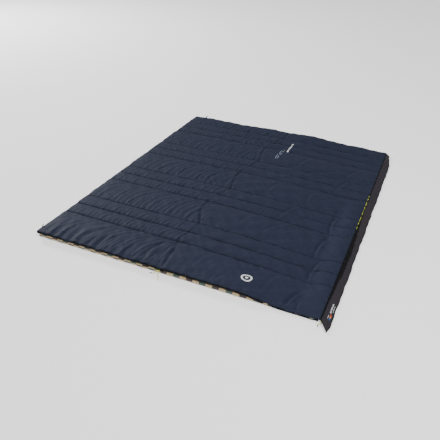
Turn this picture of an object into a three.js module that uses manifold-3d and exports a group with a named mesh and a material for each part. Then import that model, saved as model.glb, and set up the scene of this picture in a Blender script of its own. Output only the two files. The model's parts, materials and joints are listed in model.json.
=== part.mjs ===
// Camp quilt: a rectangular zip-up camping quilt opened out flat, in millimetres, +Z up.
// It is 1.8 m wide and 2.25 m long. The foot edge faces -Y, and the fold runs along Y.
import * as THREE from 'three';
import { mergeVertices } from 'three/addons/utils/BufferGeometryUtils.js';
import Module from 'manifold-3d';

const wasm = await Module();
wasm.setup();

// Driving dimensions. Inside the quilt group, x runs from the left edge and y from the foot edge.
const WIDTH = 1800;
const LENGTH = 2250;
const FOLD_X = WIDTH / 2;
const FOLD_GAP = 3; // each half stops this far from the fold line
const FIRST_CHANNEL = 275; // foot edge to the first quilting seam
const NARROW_CHANNEL = 120;
const WIDE_CHANNEL = 284;
const SEAM_GROUPS = 4; // each group is three seams
const WIDE_PUFF = 13; // crown of a wide channel over its seams
const NARROW_PUFF = 8;
const RIM = 46; // top of the edge above the ground, over most of the quilt
const SIDE_RIM = 26; // the same along the right side, where the filling thins out
const THIN_FROM = 1560;
const THIN_TO = 1700;
const FALL = [THIN_FROM, (THIN_FROM + THIN_TO) / 2, THIN_TO]; // stations of the rim's fall
const EDGE_ROLL = 60; // width over which the channels die out at the side edges

const SHELL_CLOTH = 2.4;
const LINING_CLOTH = 2.4;
const WALL_INSET = 8; // the shell overhangs the lining's side walls by this
const WALL_DROP = 4.5; // top of those walls below the rim
const LAYER_GAP = 0.6;
const LOFT_GAP = 4.5; // room between the wadding's faceted top and the shell's

const TAPE_FACE = 2.6; // outer face of the zip tape, in from the edge
const TAPE_CLOTH = 1.2;
const TAPE_TOP = 4; // below the rim
const TAPE_BOTTOM = 15;
const COIL = 3.2; // height and thickness of the zip coil
const COIL_FACE = 1.6;
const COIL_TOP = 15.3;
const HEAD_STOP = 31.5; // the coil ends this far from the head edge
const FIT = 0.3; // gap left between pieces that touch

const SLIDER_LENGTH = 16;
const FOOT_SLIDER_X = 882;
const SIDE_SLIDER_Y = 22;
const ZIP_BOX = 5.2; // length of the box at the foot centre, on the left half
const ZIP_PIN = 16.2; // length of the pin that goes into it, on the right half
const PIVOT_OUT = 2; // the pull loops turn this far outside the edge
const PULL_REST = THREE.MathUtils.degToRad(20);

const BAFFLE_WIDTH = 60;
const BAFFLE_TAIL = 62; // the tail reaches this far past the foot edge
const LOOP_LENGTH = 22;
const LOOP_THICK = 2.2;
const LOOP_TILT = THREE.MathUtils.degToRad(35);
const GUARD_OUT = 1.6;
const LOOP_FROM = FIT + LOOP_THICK * Math.sin(LOOP_TILT);
const LOOP_OUT = LOOP_FROM + LOOP_LENGTH * Math.cos(LOOP_TILT);
const CORD_RADIUS = 1.8;

const navy = 0x323c4d;
const charcoal = 0x3e3a40;
const black = 0x151619;
const tan = 0xcdb78c;
const wadding = 0xe9e7e0;
const lime = 0xcddc46;
const white = 0xeef0f2;

// Each half's own numbers along x.
const halves = {
  left: { from: 0, to: FOLD_X - FOLD_GAP },
  right: { from: FOLD_X + FOLD_GAP, to: WIDTH },
};

// Seams across the quilt: groups of three, with a wide channel between the groups.
function seamLines() {
  const lines = [];
  let y = FIRST_CHANNEL;
  for (let group = 0; group < SEAM_GROUPS; group += 1) {
    lines.push(y, y + NARROW_CHANNEL, y + 2 * NARROW_CHANNEL);
    y += 2 * NARROW_CHANNEL + WIDE_CHANNEL;
  }
  return lines;
}

const SEAMS = [0, ...seamLines(), LENGTH];

// Stations along y: every seam, and two or four steps for the channel after it.
function channelStations(inset) {
  const stations = [inset];
  for (let i = 1; i < SEAMS.length; i += 1) {
    const start = SEAMS[i - 1];
    const span = SEAMS[i] - start;
    const steps = channelSteps(span);
    for (let step = 1; step <= steps; step += 1) {
      stations.push(start + (span * step) / steps);
    }
  }
  stations[stations.length - 1] = LENGTH - inset;
  return stations;
}

// Height of the rim over the ground: level, then a smooth fall to the thin right side.
function rimAt(x) {
  return RIM - (RIM - SIDE_RIM) * THREE.MathUtils.smoothstep(x, THIN_FROM, THIN_TO);
}

// Steps that a channel is drawn in: four across a wide one, two across a narrow one.
function channelSteps(span) {
  return span > 2 * NARROW_CHANNEL ? 4 : 2;
}

// Height of a channel over its seams: chords of a parabola, faded at the side edges.
function puffAt(x, y) {
  const next = Math.max(1, SEAMS.findIndex((line) => line >= y));
  const span = SEAMS[next] - SEAMS[next - 1];
  const steps = channelSteps(span);
  const along = ((y - SEAMS[next - 1]) / span) * steps;
  const step = Math.min(steps - 1, Math.floor(along));
  const parabola = (t) => 4 * t * (1 - t);
  const height = THREE.MathUtils.lerp(parabola(step / steps), parabola((step + 1) / steps), along - step);
  const crown = steps === 4 ? WIDE_PUFF : NARROW_PUFF;
  const fade = Math.min(1, x / EDGE_ROLL, (WIDTH - x) / EDGE_ROLL);
  return crown * height * fade * (rimAt(x) / RIM);
}

function stationsAlongX(half, inset) {
  const outerLeft = half === halves.left ? inset : 0;
  const outerRight = half === halves.right ? inset : 0;
  const from = half.from + outerLeft;
  const to = half.to - outerRight;
  const inner = [EDGE_ROLL, ...FALL, WIDTH - EDGE_ROLL];
  return [from, ...inner.filter((x) => x > from && x < to), to];
}

// One closed layer of the quilt over a lattice of stations, between two heights.
function layer(xs, ys, under, over) {
  const nx = xs.length - 1;
  const ny = ys.length - 1;
  const geometry = new THREE.BoxGeometry(nx, ny, 1, nx, ny, 1);
  const place = geometry.getAttribute('position');
  for (let v = 0; v < place.count; v += 1) {
    const x = xs[Math.round(place.getX(v) + nx / 2)];
    const y = ys[Math.round(place.getY(v) + ny / 2)];
    const z = place.getZ(v) > 0 ? over(x, y) : under(x, y);
    place.setXYZ(v, x, y, z);
  }
  return geometry;
}

function toSolid(geometry) {
  const bare = geometry.clone();
  bare.deleteAttribute('normal');
  bare.deleteAttribute('uv');
  const merged = mergeVertices(bare, 1e-4);
  return new wasm.Manifold(new wasm.Mesh({
    numProp: 3,
    vertProperties: new Float32Array(merged.getAttribute('position').array),
    triVerts: new Uint32Array(merged.getIndex().array),
  }));
}

function toGeometry(solid) {
  const mesh = solid.getMesh();
  const geometry = new THREE.BufferGeometry();
  geometry.setAttribute('position', new THREE.BufferAttribute(mesh.vertProperties, 3));
  geometry.setIndex(new THREE.BufferAttribute(mesh.triVerts, 1));
  geometry.computeVertexNormals();
  return geometry;
}

function join(first, second) {
  return toGeometry(toSolid(first).add(toSolid(second)));
}

function cut(body, tool) {
  return toGeometry(toSolid(body).subtract(toSolid(tool)));
}

function block(x, y, z) {
  const [width, depth, height] = [x[1] - x[0], y[1] - y[0], z[1] - z[0]];
  const geometry = new THREE.BoxGeometry(width, depth, height);
  return geometry.translate(x[0] + width / 2, y[0] + depth / 2, z[0] + height / 2);
}

function outline(points, hole) {
  const shape = new THREE.Shape(points.map(([a, b]) => new THREE.Vector2(a, b)));
  if (hole) {
    shape.holes.push(new THREE.Path(hole.map(([a, b]) => new THREE.Vector2(a, b))));
  }
  return shape;
}

// A plate drawn in the x-z plane and given its thickness along y, from y = start.
function plateAlongY(shape, start, thickness) {
  const geometry = new THREE.ExtrudeGeometry(shape, { depth: thickness, bevelEnabled: false });
  return geometry.rotateX(Math.PI / 2).translate(0, start + thickness, 0);
}

// A plate drawn in the y-z plane and given its thickness along x, from x = start.
function plateAlongX(shape, start, thickness) {
  const turned = new THREE.Matrix4().makeBasis(
    new THREE.Vector3(0, 1, 0),
    new THREE.Vector3(0, 0, 1),
    new THREE.Vector3(1, 0, 0),
  );
  const geometry = new THREE.ExtrudeGeometry(shape, { depth: thickness, bevelEnabled: false });
  return geometry.applyMatrix4(turned).translate(start, 0, 0);
}

// A strip of constant height under the rim, along x, following the fall of the rim.
function stripUnderRim(from, to, top, bottom) {
  const xs = [from, ...FALL.filter((x) => x > from && x < to), to];
  const upper = xs.map((x) => [x, rimAt(x) - top]);
  const lower = xs.map((x) => [x, rimAt(x) - bottom]);
  return outline([...lower, ...upper.reverse()]);
}

function rectangle(from, to, low, high) {
  return outline([[from, low], [to, low], [to, high], [from, high]]);
}

const quilt = new THREE.Group();
quilt.position.set(-(WIDTH + BAFFLE_WIDTH - GUARD_OUT) / 2, -(LENGTH + LOOP_OUT - BAFFLE_TAIL) / 2, 0);
const rightHalf = new THREE.Group();
const leftHalf = new THREE.Group();
const baffle = new THREE.Group();
const footZip = new THREE.Group();
const sideZip = new THREE.Group();
quilt.add(rightHalf, leftHalf, baffle, footZip, sideZip);

function piece(group, name, geometry, color, roughness = 0.9, metalness = 0) {
  const material = new THREE.MeshStandardMaterial({ color, roughness, metalness });
  const mesh = new THREE.Mesh(geometry, material);
  mesh.name = name;
  group.add(mesh);
  return mesh;
}

// Cloth layers and wadding of one half, from the shell on top down to the lining.
function clothLayers(group, side) {
  const half = halves[side];
  const shellTop = (x, y) => rimAt(x) + puffAt(x, y);
  const shellUnder = (x, y) => shellTop(x, y) - SHELL_CLOTH;
  const middle = (x) => rimAt(x) / 2;
  const shell = layer(stationsAlongX(half, 0), channelStations(0), shellUnder, shellTop);
  piece(group, `shell_${side}`, shell, navy, 0.75);

  const inset = WALL_INSET + LINING_CLOTH + LAYER_GAP;
  const xs = stationsAlongX(half, inset);
  const over = (x, y) => shellUnder(x, y) - LOFT_GAP;
  piece(group, `outer_batt_${side}`, layer(xs, channelStations(inset), middle, over), wadding, 1);
  const ends = [inset, LENGTH - inset];
  const floor = () => LINING_CLOTH + LAYER_GAP;
  piece(group, `inner_batt_${side}`, layer(xs, ends, floor, (x) => middle(x) - LAYER_GAP), wadding, 1);

  const trayEnds = [WALL_INSET, LENGTH - WALL_INSET];
  const tray = layer(stationsAlongX(half, WALL_INSET), trayEnds, () => 0, (x) => rimAt(x) - WALL_DROP);
  const wall = WALL_INSET + LINING_CLOTH;
  const hollowX = side === 'left' ? [wall, half.to + 1] : [half.from - 1, WIDTH - wall];
  const hollow = block(hollowX, [wall, LENGTH - wall], [LINING_CLOTH, RIM + 1]);
  piece(group, `lining_${side}`, cut(tray, hollow), tan, 1);
}

// Zip tape and coil of one half: along the foot edge and up the outer side, in one L.
function zipHalf(group, side) {
  const half = halves[side];
  const left = side === 'left';
  const rim = left ? RIM : SIDE_RIM;
  const makeL = (face, thick, top, bottom, centre, head) => {
    const foot = left ? [face, centre] : [centre, WIDTH - face];
    const along = plateAlongY(stripUnderRim(foot[0], foot[1], top, bottom), face, thick);
    const start = left ? face : WIDTH - face - thick;
    const up = plateAlongX(rectangle(face, head, rim - bottom, rim - top), start, thick);
    return join(along, up);
  };
  const tapeEnd = left ? half.to : half.from;
  const tape = makeL(TAPE_FACE, TAPE_CLOTH, TAPE_TOP, TAPE_BOTTOM, tapeEnd, LENGTH - WALL_INSET);
  piece(group, `zip_tape_${side}`, tape, black, 0.9);
  const coilEnd = left ? half.to - ZIP_BOX - 2 * FIT : half.from + ZIP_PIN + 2 * FIT;
  const coilBottom = COIL_TOP + COIL;
  const coil = makeL(COIL_FACE, COIL, COIL_TOP, coilBottom, coilEnd, LENGTH - HEAD_STOP);
  piece(group, `zip_coil_${side}`, coil, left ? charcoal : lime, 0.5);

  const stopX = left ? [COIL_FACE, COIL_FACE + COIL] : [WIDTH - COIL_FACE - COIL, WIDTH - COIL_FACE];
  const stopY = [LENGTH - HEAD_STOP + FIT, LENGTH - HEAD_STOP + 6];
  const stop = block(stopX, stopY, [rim - coilBottom, rim - COIL_TOP]);
  piece(group, `zip_stop_${side}`, stop, black, 0.4, 0.6);
}

// Binding along the head edge of one half, under the rim.
function headBinding(group, side) {
  const half = halves[side];
  const from = side === 'left' ? WALL_INSET : half.from;
  const to = side === 'left' ? half.to : WIDTH - WALL_INSET;
  const shape = stripUnderRim(from, to, TAPE_TOP, TAPE_BOTTOM);
  const start = LENGTH - TAPE_FACE - TAPE_CLOTH;
  piece(group, `head_binding_${side}`, plateAlongY(shape, start, TAPE_CLOTH), black, 0.9);
}

for (const [side, group] of [['right', rightHalf], ['left', leftHalf]]) {
  clothLayers(group, side);
  zipHalf(group, side);
  headBinding(group, side);
}

// Ends of the zip at the foot centre: a box on the left half, a pin on the right half.
const boxZ = [RIM - COIL_TOP - COIL - 1.5, RIM - COIL_TOP];
const boxX = [halves.left.to - FIT - ZIP_BOX, halves.left.to - FIT];
piece(leftHalf, 'zip_box', block(boxX, [0.8, 5.6], boxZ), black, 0.5);
const pinX = [halves.right.from + FIT, halves.right.from + FIT + ZIP_PIN];
const pinZ = [RIM - COIL_TOP - COIL, RIM - COIL_TOP];
piece(rightHalf, 'zip_pin', block(pinX, [2.2, 4.2], pinZ), black, 0.5);

// Transfer prints on the shell: a ring with a dot, and two lines of print near the head.
const EMBLEM = { x: 1351, y: 121, z: RIM + WIDE_PUFF + 0.5, outer: 32.5, inner: 23, dot: 9 };
const ringShape = new THREE.Shape().absarc(0, 0, EMBLEM.outer, 0, 2 * Math.PI);
ringShape.holes.push(new THREE.Path().absarc(0, 0, EMBLEM.inner, 0, 2 * Math.PI, true));
const film = { depth: 0.5, bevelEnabled: false, curveSegments: 24 };
const ring = piece(rightHalf, 'emblem_ring', new THREE.ExtrudeGeometry(ringShape, film), white, 0.5);
const dotShape = new THREE.Shape().absarc(0, 0, EMBLEM.dot, 0, 2 * Math.PI);
const dot = piece(rightHalf, 'emblem_dot', new THREE.ExtrudeGeometry(dotShape, film), white, 0.5);
for (const mesh of [ring, dot]) {
  mesh.position.set(EMBLEM.x, EMBLEM.y, EMBLEM.z);
}
const boldZ = RIM + NARROW_PUFF + 0.5;
const bold = block([1037, 1053], [1835, 2012], [boldZ + 2, boldZ + 2.5]);
piece(rightHalf, 'print_line_bold', bold, white, 0.5);
const fine = block([996, 1020], [1650, 1862], [EMBLEM.z, EMBLEM.z + 0.5]);
piece(rightHalf, 'print_line_fine', fine, white, 0.5);

// Corner guard: a black strip round the foot-left corner, with a small standing tip.
const guardShape = outline([
  [-GUARD_OUT, RIM - 17], [62, RIM - 17], [62, RIM + 14], [54, RIM + 14], [46, RIM + 1], [-GUARD_OUT, RIM + 1],
]);
const guardSide = plateAlongX(guardShape, -GUARD_OUT, TAPE_CLOTH);
const guardFoot = block([-GUARD_OUT, 20], [-GUARD_OUT, TAPE_CLOTH - GUARD_OUT], [RIM - 17, RIM + 1]);
piece(leftHalf, 'corner_guard', join(guardSide, guardFoot), black, 0.8);

// Hang loop: webbing folded flat on itself, standing out of the head edge near the left corner.
const loop = piece(leftHalf, 'hang_loop', block([-5, 5], [0, LOOP_LENGTH], [0, LOOP_THICK]), black, 0.8);
loop.rotation.x = LOOP_TILT;
loop.position.set(105, LENGTH + LOOP_FROM, RIM - 2.6);

// Draught baffle: a thinly filled flap hinged on the seam of the right side. It lies over the
// zip and down to the ground, and its foot end is cut to a tail.
const BAFFLE_SEAM = WIDTH + 1;
const baffleOutline = (inset) => [
  [BAFFLE_SEAM + 2 * inset, SIDE_RIM - 5.2 + inset],
  [WIDTH + 22.5, SIDE_RIM - 7.2 + inset],
  [WIDTH + 55.5 - inset, 2 * inset],
  [WIDTH + BAFFLE_WIDTH - 2 * inset, 2 * inset],
  [WIDTH + BAFFLE_WIDTH - 2 * inset, 4],
  [WIDTH + 24, SIDE_RIM - 3 - inset],
  [BAFFLE_SEAM + 2 * inset, SIDE_RIM - 1 - inset],
];
const casingLength = LENGTH + BAFFLE_TAIL;
const casingSolid = plateAlongY(outline(baffleOutline(0)), -BAFFLE_TAIL, casingLength);
const tailCut = new THREE.ExtrudeGeometry(outline([
  [WIDTH - 5, -BAFFLE_TAIL - 5], [WIDTH + 40, -BAFFLE_TAIL - 5], [WIDTH + 46, -BAFFLE_TAIL], [WIDTH + 1, 0],
  [WIDTH - 5, 0],
]), { depth: 60, bevelEnabled: false }).translate(0, 0, -10);
const outerCut = new THREE.ExtrudeGeometry(outline([
  [WIDTH + 46, -BAFFLE_TAIL], [WIDTH + 46, -BAFFLE_TAIL - 5], [WIDTH + 70, -BAFFLE_TAIL - 5],
  [WIDTH + 70, 0], [WIDTH + 60.01, 0],
]), { depth: 60, bevelEnabled: false }).translate(0, 0, -10);
const CASING_CLOTH = 0.8;
const POCKET_START = 12;
const pocket = plateAlongY(outline(baffleOutline(CASING_CLOTH)), POCKET_START, LENGTH - POCKET_START + 5);
const casing = cut(cut(cut(casingSolid, tailCut), outerCut), pocket);
piece(baffle, 'baffle_casing', casing, charcoal, 0.8);
const fillingLength = LENGTH - POCKET_START - 6;
const fillingShape = outline(baffleOutline(CASING_CLOTH + FIT));
piece(baffle, 'baffle_filling', plateAlongY(fillingShape, POCKET_START + 2, fillingLength), wadding, 1);

const labelSlope = Math.atan2(SIDE_RIM - 7, BAFFLE_WIDTH - 24);
const label = piece(baffle, 'baffle_label', block([4, 34], [12, 172], [FIT, FIT + 0.6]), white, 0.8);
label.rotation.y = labelSlope;
label.position.set(WIDTH + 24, 0, SIDE_RIM - 3);

// A zip slider in its own frame: it runs along x, y = 0 is the quilt's edge, z = 0 is the rim.
// Its channel is open at the top for the tape, and an arch on its outer plate holds the pull.
function sliderGeometry() {
  const channel = outline([
    [-0.6, -22.5], [7, -22.5], [7, -8], [5.3, -8], [5.3, -19], [1.1, -19], [1.1, -8], [-0.6, -8],
  ]);
  const body = plateAlongX(channel, -SLIDER_LENGTH / 2, SLIDER_LENGTH);
  const arch = block([-2.6, 2.6], [-4.6, 0], [-19, -13]);
  const tunnel = block([-1.8, 1.8], [-3.4, -0.6], [-21, -11]);
  return join(body, cut(arch, tunnel));
}

// A pull loop in its own frame: it turns about z through its inner bar and points along -y.
function pullGeometry() {
  const ringOutline = [[0.7, -21.1], [0.7, -10.9], [-9, -10.9], [-11, -13], [-11, -19], [-9, -21.1]];
  const opening = [[-0.7, -19.7], [-4.3, -19.7], [-4.3, -12.3], [-0.7, -12.3]];
  return plateAlongX(outline(ringOutline, opening), -0.7, 1.4);
}

// A pull cord along its route, in the quilt's own coordinates.
function cordGeometry(route, steps) {
  const path = new THREE.CatmullRomCurve3(route.map(([x, y, z]) => new THREE.Vector3(x, y, z)));
  const section = new THREE.Shape().absarc(0, 0, CORD_RADIUS, 0, 2 * Math.PI);
  return new THREE.ExtrudeGeometry(section, { steps, curveSegments: 4, extrudePath: path });
}

// A moulded cord end: a blunt cone lying along the direction from its cord.
function cordTip(name, group, start, direction) {
  const profile = [[0, 0], [1.9, 0], [2.5, 2], [2.5, 10], [1.6, 13], [0, 13]];
  const geometry = new THREE.LatheGeometry(profile.map(([r, h]) => new THREE.Vector2(r, h)), 12);
  const mesh = piece(group, name, geometry, black, 0.5);
  const along = new THREE.Vector3(...direction).normalize();
  mesh.quaternion.setFromUnitVectors(new THREE.Vector3(0, 1, 0), along);
  mesh.position.set(...start).addScaledVector(along, 2 * FIT);
}

// Foot slider, parked at the foot centre, with two pull cords.
const footSlider = piece(footZip, 'foot_slider_body', sliderGeometry(), black, 0.45, 0.6);
footSlider.position.set(FOOT_SLIDER_X, 0, RIM);
const footPull = piece(footZip, 'foot_pull_loop', pullGeometry(), black, 0.45, 0.6);
footPull.position.set(FOOT_SLIDER_X, -PIVOT_OUT, RIM);
footPull.rotation.z = PULL_REST - Math.PI / 2;
const LONG_CORD = [
  [870.7, -6.3, 33], [868, -9.8, 31.8], [866.3, -13.6, 27], [866, -16.5, 20], [868, -20.5, 11.5],
  [872, -26.5, 5], [877, -34, 2.2], [883, -44, 2], [888, -55, 2],
];
const SHORT_CORD = [
  [871, -6.2, 26.5], [864, -7.4, 27.4], [856, -8.6, 27], [848.5, -9.5, 22.5], [843.5, -10.5, 14.5],
  [839, -11.5, 7], [833.5, -12.6, 3.2], [827.5, -13.9, 2.8],
];
piece(footZip, 'foot_cord_long', cordGeometry(LONG_CORD, 14), lime, 0.8);
piece(footZip, 'foot_cord_short', cordGeometry(SHORT_CORD, 10), lime, 0.8);
cordTip('foot_cord_tip', footZip, [827.5, -13.9, 2.8], [-6, -1.3, 0]);

// Side slider, parked at the foot corner under the baffle, with one pull cord.
const sideSlider = piece(sideZip, 'side_slider_body', sliderGeometry(), black, 0.45, 0.6);
sideSlider.rotation.z = Math.PI / 2;
sideSlider.position.set(WIDTH, SIDE_SLIDER_Y, SIDE_RIM);
const sidePull = piece(sideZip, 'side_pull_loop', pullGeometry(), black, 0.45, 0.6);
sidePull.position.set(WIDTH + PIVOT_OUT, SIDE_SLIDER_Y, SIDE_RIM);
const SIDE_CORD = [
  [1802, 10, 10], [1804.5, 4.5, 8.6], [1808, -1, 5.6], [1809.2, -6.5, 3.2], [1806, -11.5, 2.3],
  [1800.5, -13.6, 2.2], [1797.4, -17.8, 2.4], [1797, -23, 2.7],
];
piece(sideZip, 'side_cord', cordGeometry(SIDE_CORD, 8), lime, 0.8);
cordTip('side_cord_tip', sideZip, [1797, -23, 2.7], [-0.3, -6, 0]);

export default quilt;
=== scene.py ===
"""Camp quilt opened out flat: cloth, wadding, zip, baffle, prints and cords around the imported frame."""

import json
import logging
import math
from dataclasses import dataclass, field
from enum import Enum

import bmesh
import bpy
import numpy as np
from mathutils import Matrix, Vector


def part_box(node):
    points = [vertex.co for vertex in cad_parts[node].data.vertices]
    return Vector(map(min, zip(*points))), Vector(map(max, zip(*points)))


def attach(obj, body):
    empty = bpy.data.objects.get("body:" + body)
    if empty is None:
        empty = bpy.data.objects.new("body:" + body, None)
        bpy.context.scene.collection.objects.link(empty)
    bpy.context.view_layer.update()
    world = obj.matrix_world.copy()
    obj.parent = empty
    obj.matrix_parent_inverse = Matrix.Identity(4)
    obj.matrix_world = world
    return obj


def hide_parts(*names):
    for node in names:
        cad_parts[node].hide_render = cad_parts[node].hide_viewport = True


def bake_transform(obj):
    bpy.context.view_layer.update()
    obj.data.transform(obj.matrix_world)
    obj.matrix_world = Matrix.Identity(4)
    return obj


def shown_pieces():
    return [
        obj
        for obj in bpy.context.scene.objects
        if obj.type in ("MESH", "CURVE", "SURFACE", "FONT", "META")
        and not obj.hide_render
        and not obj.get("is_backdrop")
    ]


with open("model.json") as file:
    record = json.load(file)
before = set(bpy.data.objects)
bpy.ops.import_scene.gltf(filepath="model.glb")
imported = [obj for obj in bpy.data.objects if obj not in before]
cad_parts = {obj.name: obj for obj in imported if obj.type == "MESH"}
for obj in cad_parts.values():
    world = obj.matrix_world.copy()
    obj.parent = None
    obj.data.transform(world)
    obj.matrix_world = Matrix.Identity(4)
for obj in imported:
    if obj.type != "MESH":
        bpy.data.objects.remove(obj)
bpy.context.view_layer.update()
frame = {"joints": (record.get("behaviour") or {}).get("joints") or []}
LOG = logging.getLogger("camp_quilt")
MM = 0.001
SEED = 11

Array = np.ndarray
Colour = tuple[float, float, float]
Piece = bpy.types.Object
Material = bpy.types.Material
Tree = bpy.types.NodeTree
Socket = bpy.types.NodeSocket


def srgb(red: int, green: int, blue: int) -> Colour:
    """Turn 0 to 255 display values into the linear colour that a shader takes."""
    values = np.array([red, green, blue]) / 255.0
    linear = np.where(values <= 0.04045, values / 12.92, ((values + 0.055) / 1.055) ** 2.4)
    return tuple(float(v) for v in linear)


# ---------------------------------------------------------------- layout shared by the cloth pieces


def bell(distance: Array, width: float) -> Array:
    """Read the bell curve exp(-(distance / width)^2)."""
    return np.exp(-((distance / width) ** 2))


def ease(share: Array) -> Array:
    """Turn an even step from 0 to 1 into a smooth one: s^2 (3 - 2 s)."""
    return share * share * (3 - 2 * share)


def smooth_curve(knots: Array, at: Array, width: float) -> Array:
    """Round off a polyline: the mean of it over a window, taken at nine offsets.

    Args:
        knots: rows of (place, value), places rising.
        at: places to read the curve at.
        width: width of the window in metres.

    Returns:
        The rounded values at the given places.
    """
    offsets = np.linspace(-0.5, 0.5, 9) * width
    weights = np.cos(offsets / width * math.pi) + 0.05
    rows = [np.interp(at + offset, knots[:, 0], knots[:, 1]) for offset in offsets]
    return np.tensordot(weights / weights.sum(), np.array(rows), axes=1)


def waves(seed: int, at: Array, lengths: tuple[float, ...]) -> Array:
    """Add sines of several wavelengths with seeded phases; the sum stays near -1 to 1."""
    phases = np.random.default_rng(seed).uniform(0, 2 * math.pi, len(lengths))
    rows = [np.sin(2 * math.pi * at / length + phase) for length, phase in zip(lengths, phases)]
    return np.sum(rows, axis=0) / math.sqrt(len(lengths))


@dataclass(frozen=True)
class Layout:
    """Sizes and levels of the opened quilt, read from the frame, in the row frame's metres."""

    left: float
    right: float
    foot: float
    head: float
    fold: float
    first_channel: float = 0.275
    narrow_channel: float = 0.120
    wide_channel: float = 0.284
    seam_groups: int = 4
    wide_puff: float = 0.013
    narrow_puff: float = 0.0085
    fewest_rows: int = 15
    crowding: float = 0.72
    bend_steps: int = 27

    @classmethod
    def from_frame(cls) -> "Layout":
        """Read the outline from the shell's solids and the fold line from the joint."""
        left_low, left_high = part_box("shell_left")
        _, right_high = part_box("shell_right")
        fold = next(joint for joint in frame["joints"] if joint["name"] == "fold")
        return cls(left_low[0], right_high[0], left_low[1], left_high[1], fold["pos_m"][0])

    @property
    def width(self) -> float:
        """Width of the opened quilt."""
        return self.right - self.left

    @property
    def length(self) -> float:
        """Length of the quilt from foot to head."""
        return self.head - self.foot

    def seams(self) -> Array:
        """Distances of the quilting seams from the foot edge: groups of three."""
        pitch = 2 * self.narrow_channel + self.wide_channel
        starts = self.first_channel + pitch * np.arange(self.seam_groups)
        return (starts[:, None] + self.narrow_channel * np.arange(3)[None, :]).ravel()

    def rows(self, inset: float, per_metre: float) -> Array:
        """Spread rows along each channel, drawn to its seams: t - crowding sin(2 pi t) / 2 pi."""
        lines = np.concatenate([[inset], self.seams(), [self.length - inset]])
        parts = []
        for low, high in zip(lines[:-1], lines[1:]):
            count = max(self.fewest_rows, round((high - low) * per_metre))
            t = np.arange(count) / count
            drawn = t - self.crowding * np.sin(2 * math.pi * t) / (2 * math.pi)
            parts.append(low + (high - low) * drawn)
        return np.concatenate([*parts, [lines[-1]]])

    def bend_columns(self, columns: Array) -> Array:
        """Put closely spaced columns across a stretch round the fold line."""
        middle = self.fold - self.left
        low, high = middle - BEND_LEFT, middle + BEND_RIGHT
        clear = 2 * MM
        outside = columns[(columns < low - clear) | (columns > high + clear)]
        return np.sort(np.concatenate([outside, np.linspace(low, high, self.bend_steps)]))

    def to_seam(self, along: Array) -> Array:
        """Measure how far each place is from its nearest quilting seam."""
        return np.min(np.abs(along[..., None] - self.seams()), axis=-1)

    def channel_at(self, along: Array) -> tuple[Array, Array, Array]:
        """Find each place's channel.

        Returns:
            The channel's number, the share of the way across it, and its width.
        """
        lines = np.concatenate([[0.0], self.seams(), [self.length]])
        index = np.clip(np.searchsorted(lines, along, side="right") - 1, 0, len(lines) - 2)
        span = lines[index + 1] - lines[index]
        return index, np.clip((along - lines[index]) / span, 0, 1), span

    def seam_level(self, across: Array, along: Array) -> Array:
        """Height of the seams over the ground.

        Across the quilt the level is rounded knots: even over the left half, sinking to a
        lengthwise valley near the right side, then up over a roll. Towards the foot edge and the
        head edge it turns smoothly into that edge's own rim.
        """
        body = smooth_curve(BODY_LEVEL, across, 0.06)
        upper = smooth_curve(UPPER_LEVEL, across, 0.08)
        lift = np.clip((along - 1.0) / 0.5, 0, 1)
        body = body + (upper - body) * ease(lift)
        foot = smooth_curve(FOOT_RIM, across, 0.05)
        head = smooth_curve(HEAD_RIM, across, 0.06)
        near_foot = bell(along, 0.13)
        near_head = bell(self.length - along, 0.13)
        strength = np.clip(1.5 - across / 0.95, 0.25, 1)
        clear_of_tip = np.clip((across - 0.03) / 0.05, 0, 1)
        foot = foot + 0.0036 * waves(21, across, (0.062, 0.105, 0.21)) * strength * clear_of_tip
        level = body + (foot - body) * near_foot
        return level + (head - level) * near_head

    def channel_puff(self, across: Array, along: Array) -> Array:
        """Height of the filled channels over the seams: a flattened arch, 1 - |2t - 1|^2.4."""
        _, t, span = self.channel_at(along)
        crown = np.where(span > 2 * self.narrow_channel, self.wide_puff, self.narrow_puff)
        inside = np.clip(np.minimum(across, self.width - across) / 0.10, 0, 1)
        fade = np.sqrt(inside * (2 - inside))
        thin = 1 - 0.35 * np.clip((across - 1.25) / 0.4, 0, 1)
        return crown * (1 - np.abs(2 * t - 1) ** 2.4) * fade * thin


# Rim and seam levels over the ground, as (distance from the left edge, height).
BODY_LEVEL = np.array([
    (0.0, 0.046), (0.5, 0.046), (0.9, 0.047), (1.05, 0.045), (1.2, 0.040), (1.35, 0.032),
    (1.5, 0.024), (1.6, 0.018), (1.665, 0.011), (1.72, 0.026), (1.76, 0.031), (1.80, 0.025),
])
UPPER_LEVEL = np.array([
    (0.0, 0.046), (0.9, 0.048), (1.2, 0.043), (1.4, 0.034), (1.6, 0.026), (1.7, 0.026), (1.80, 0.025),
])
FOOT_RIM = np.array([
    (0.0, 0.046), (0.06, 0.046), (0.5, 0.046), (0.9, 0.048), (1.3, 0.049), (1.40, 0.043),
    (1.5, 0.027), (1.62, 0.017), (1.74, 0.019), (1.80, 0.024),
])
HEAD_RIM = np.array([
    (0.0, 0.045), (0.13, 0.050), (0.35, 0.045), (0.6, 0.046), (0.8, 0.053), (0.95, 0.049), (1.1, 0.056),
    (1.25, 0.050), (1.45, 0.036), (1.6, 0.033), (1.80, 0.026),
])


# ---------------------------------------------------------------- meshes


EAST, NORTH, UP = np.eye(3)[:, None]


def linked(name: str, mesh: bpy.types.Mesh) -> Piece:
    """Make an object of a mesh and link it to the scene."""
    obj = bpy.data.objects.new(name, mesh)
    bpy.context.scene.collection.objects.link(obj)
    return obj


def face_outwards(mesh: bpy.types.Mesh) -> None:
    """Wind every face of a closed mesh so that it looks out of the solid."""
    shape = bmesh.new()
    shape.from_mesh(mesh)
    bmesh.ops.recalc_face_normals(shape, faces=shape.faces[:])
    shape.to_mesh(mesh)
    shape.free()


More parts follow.
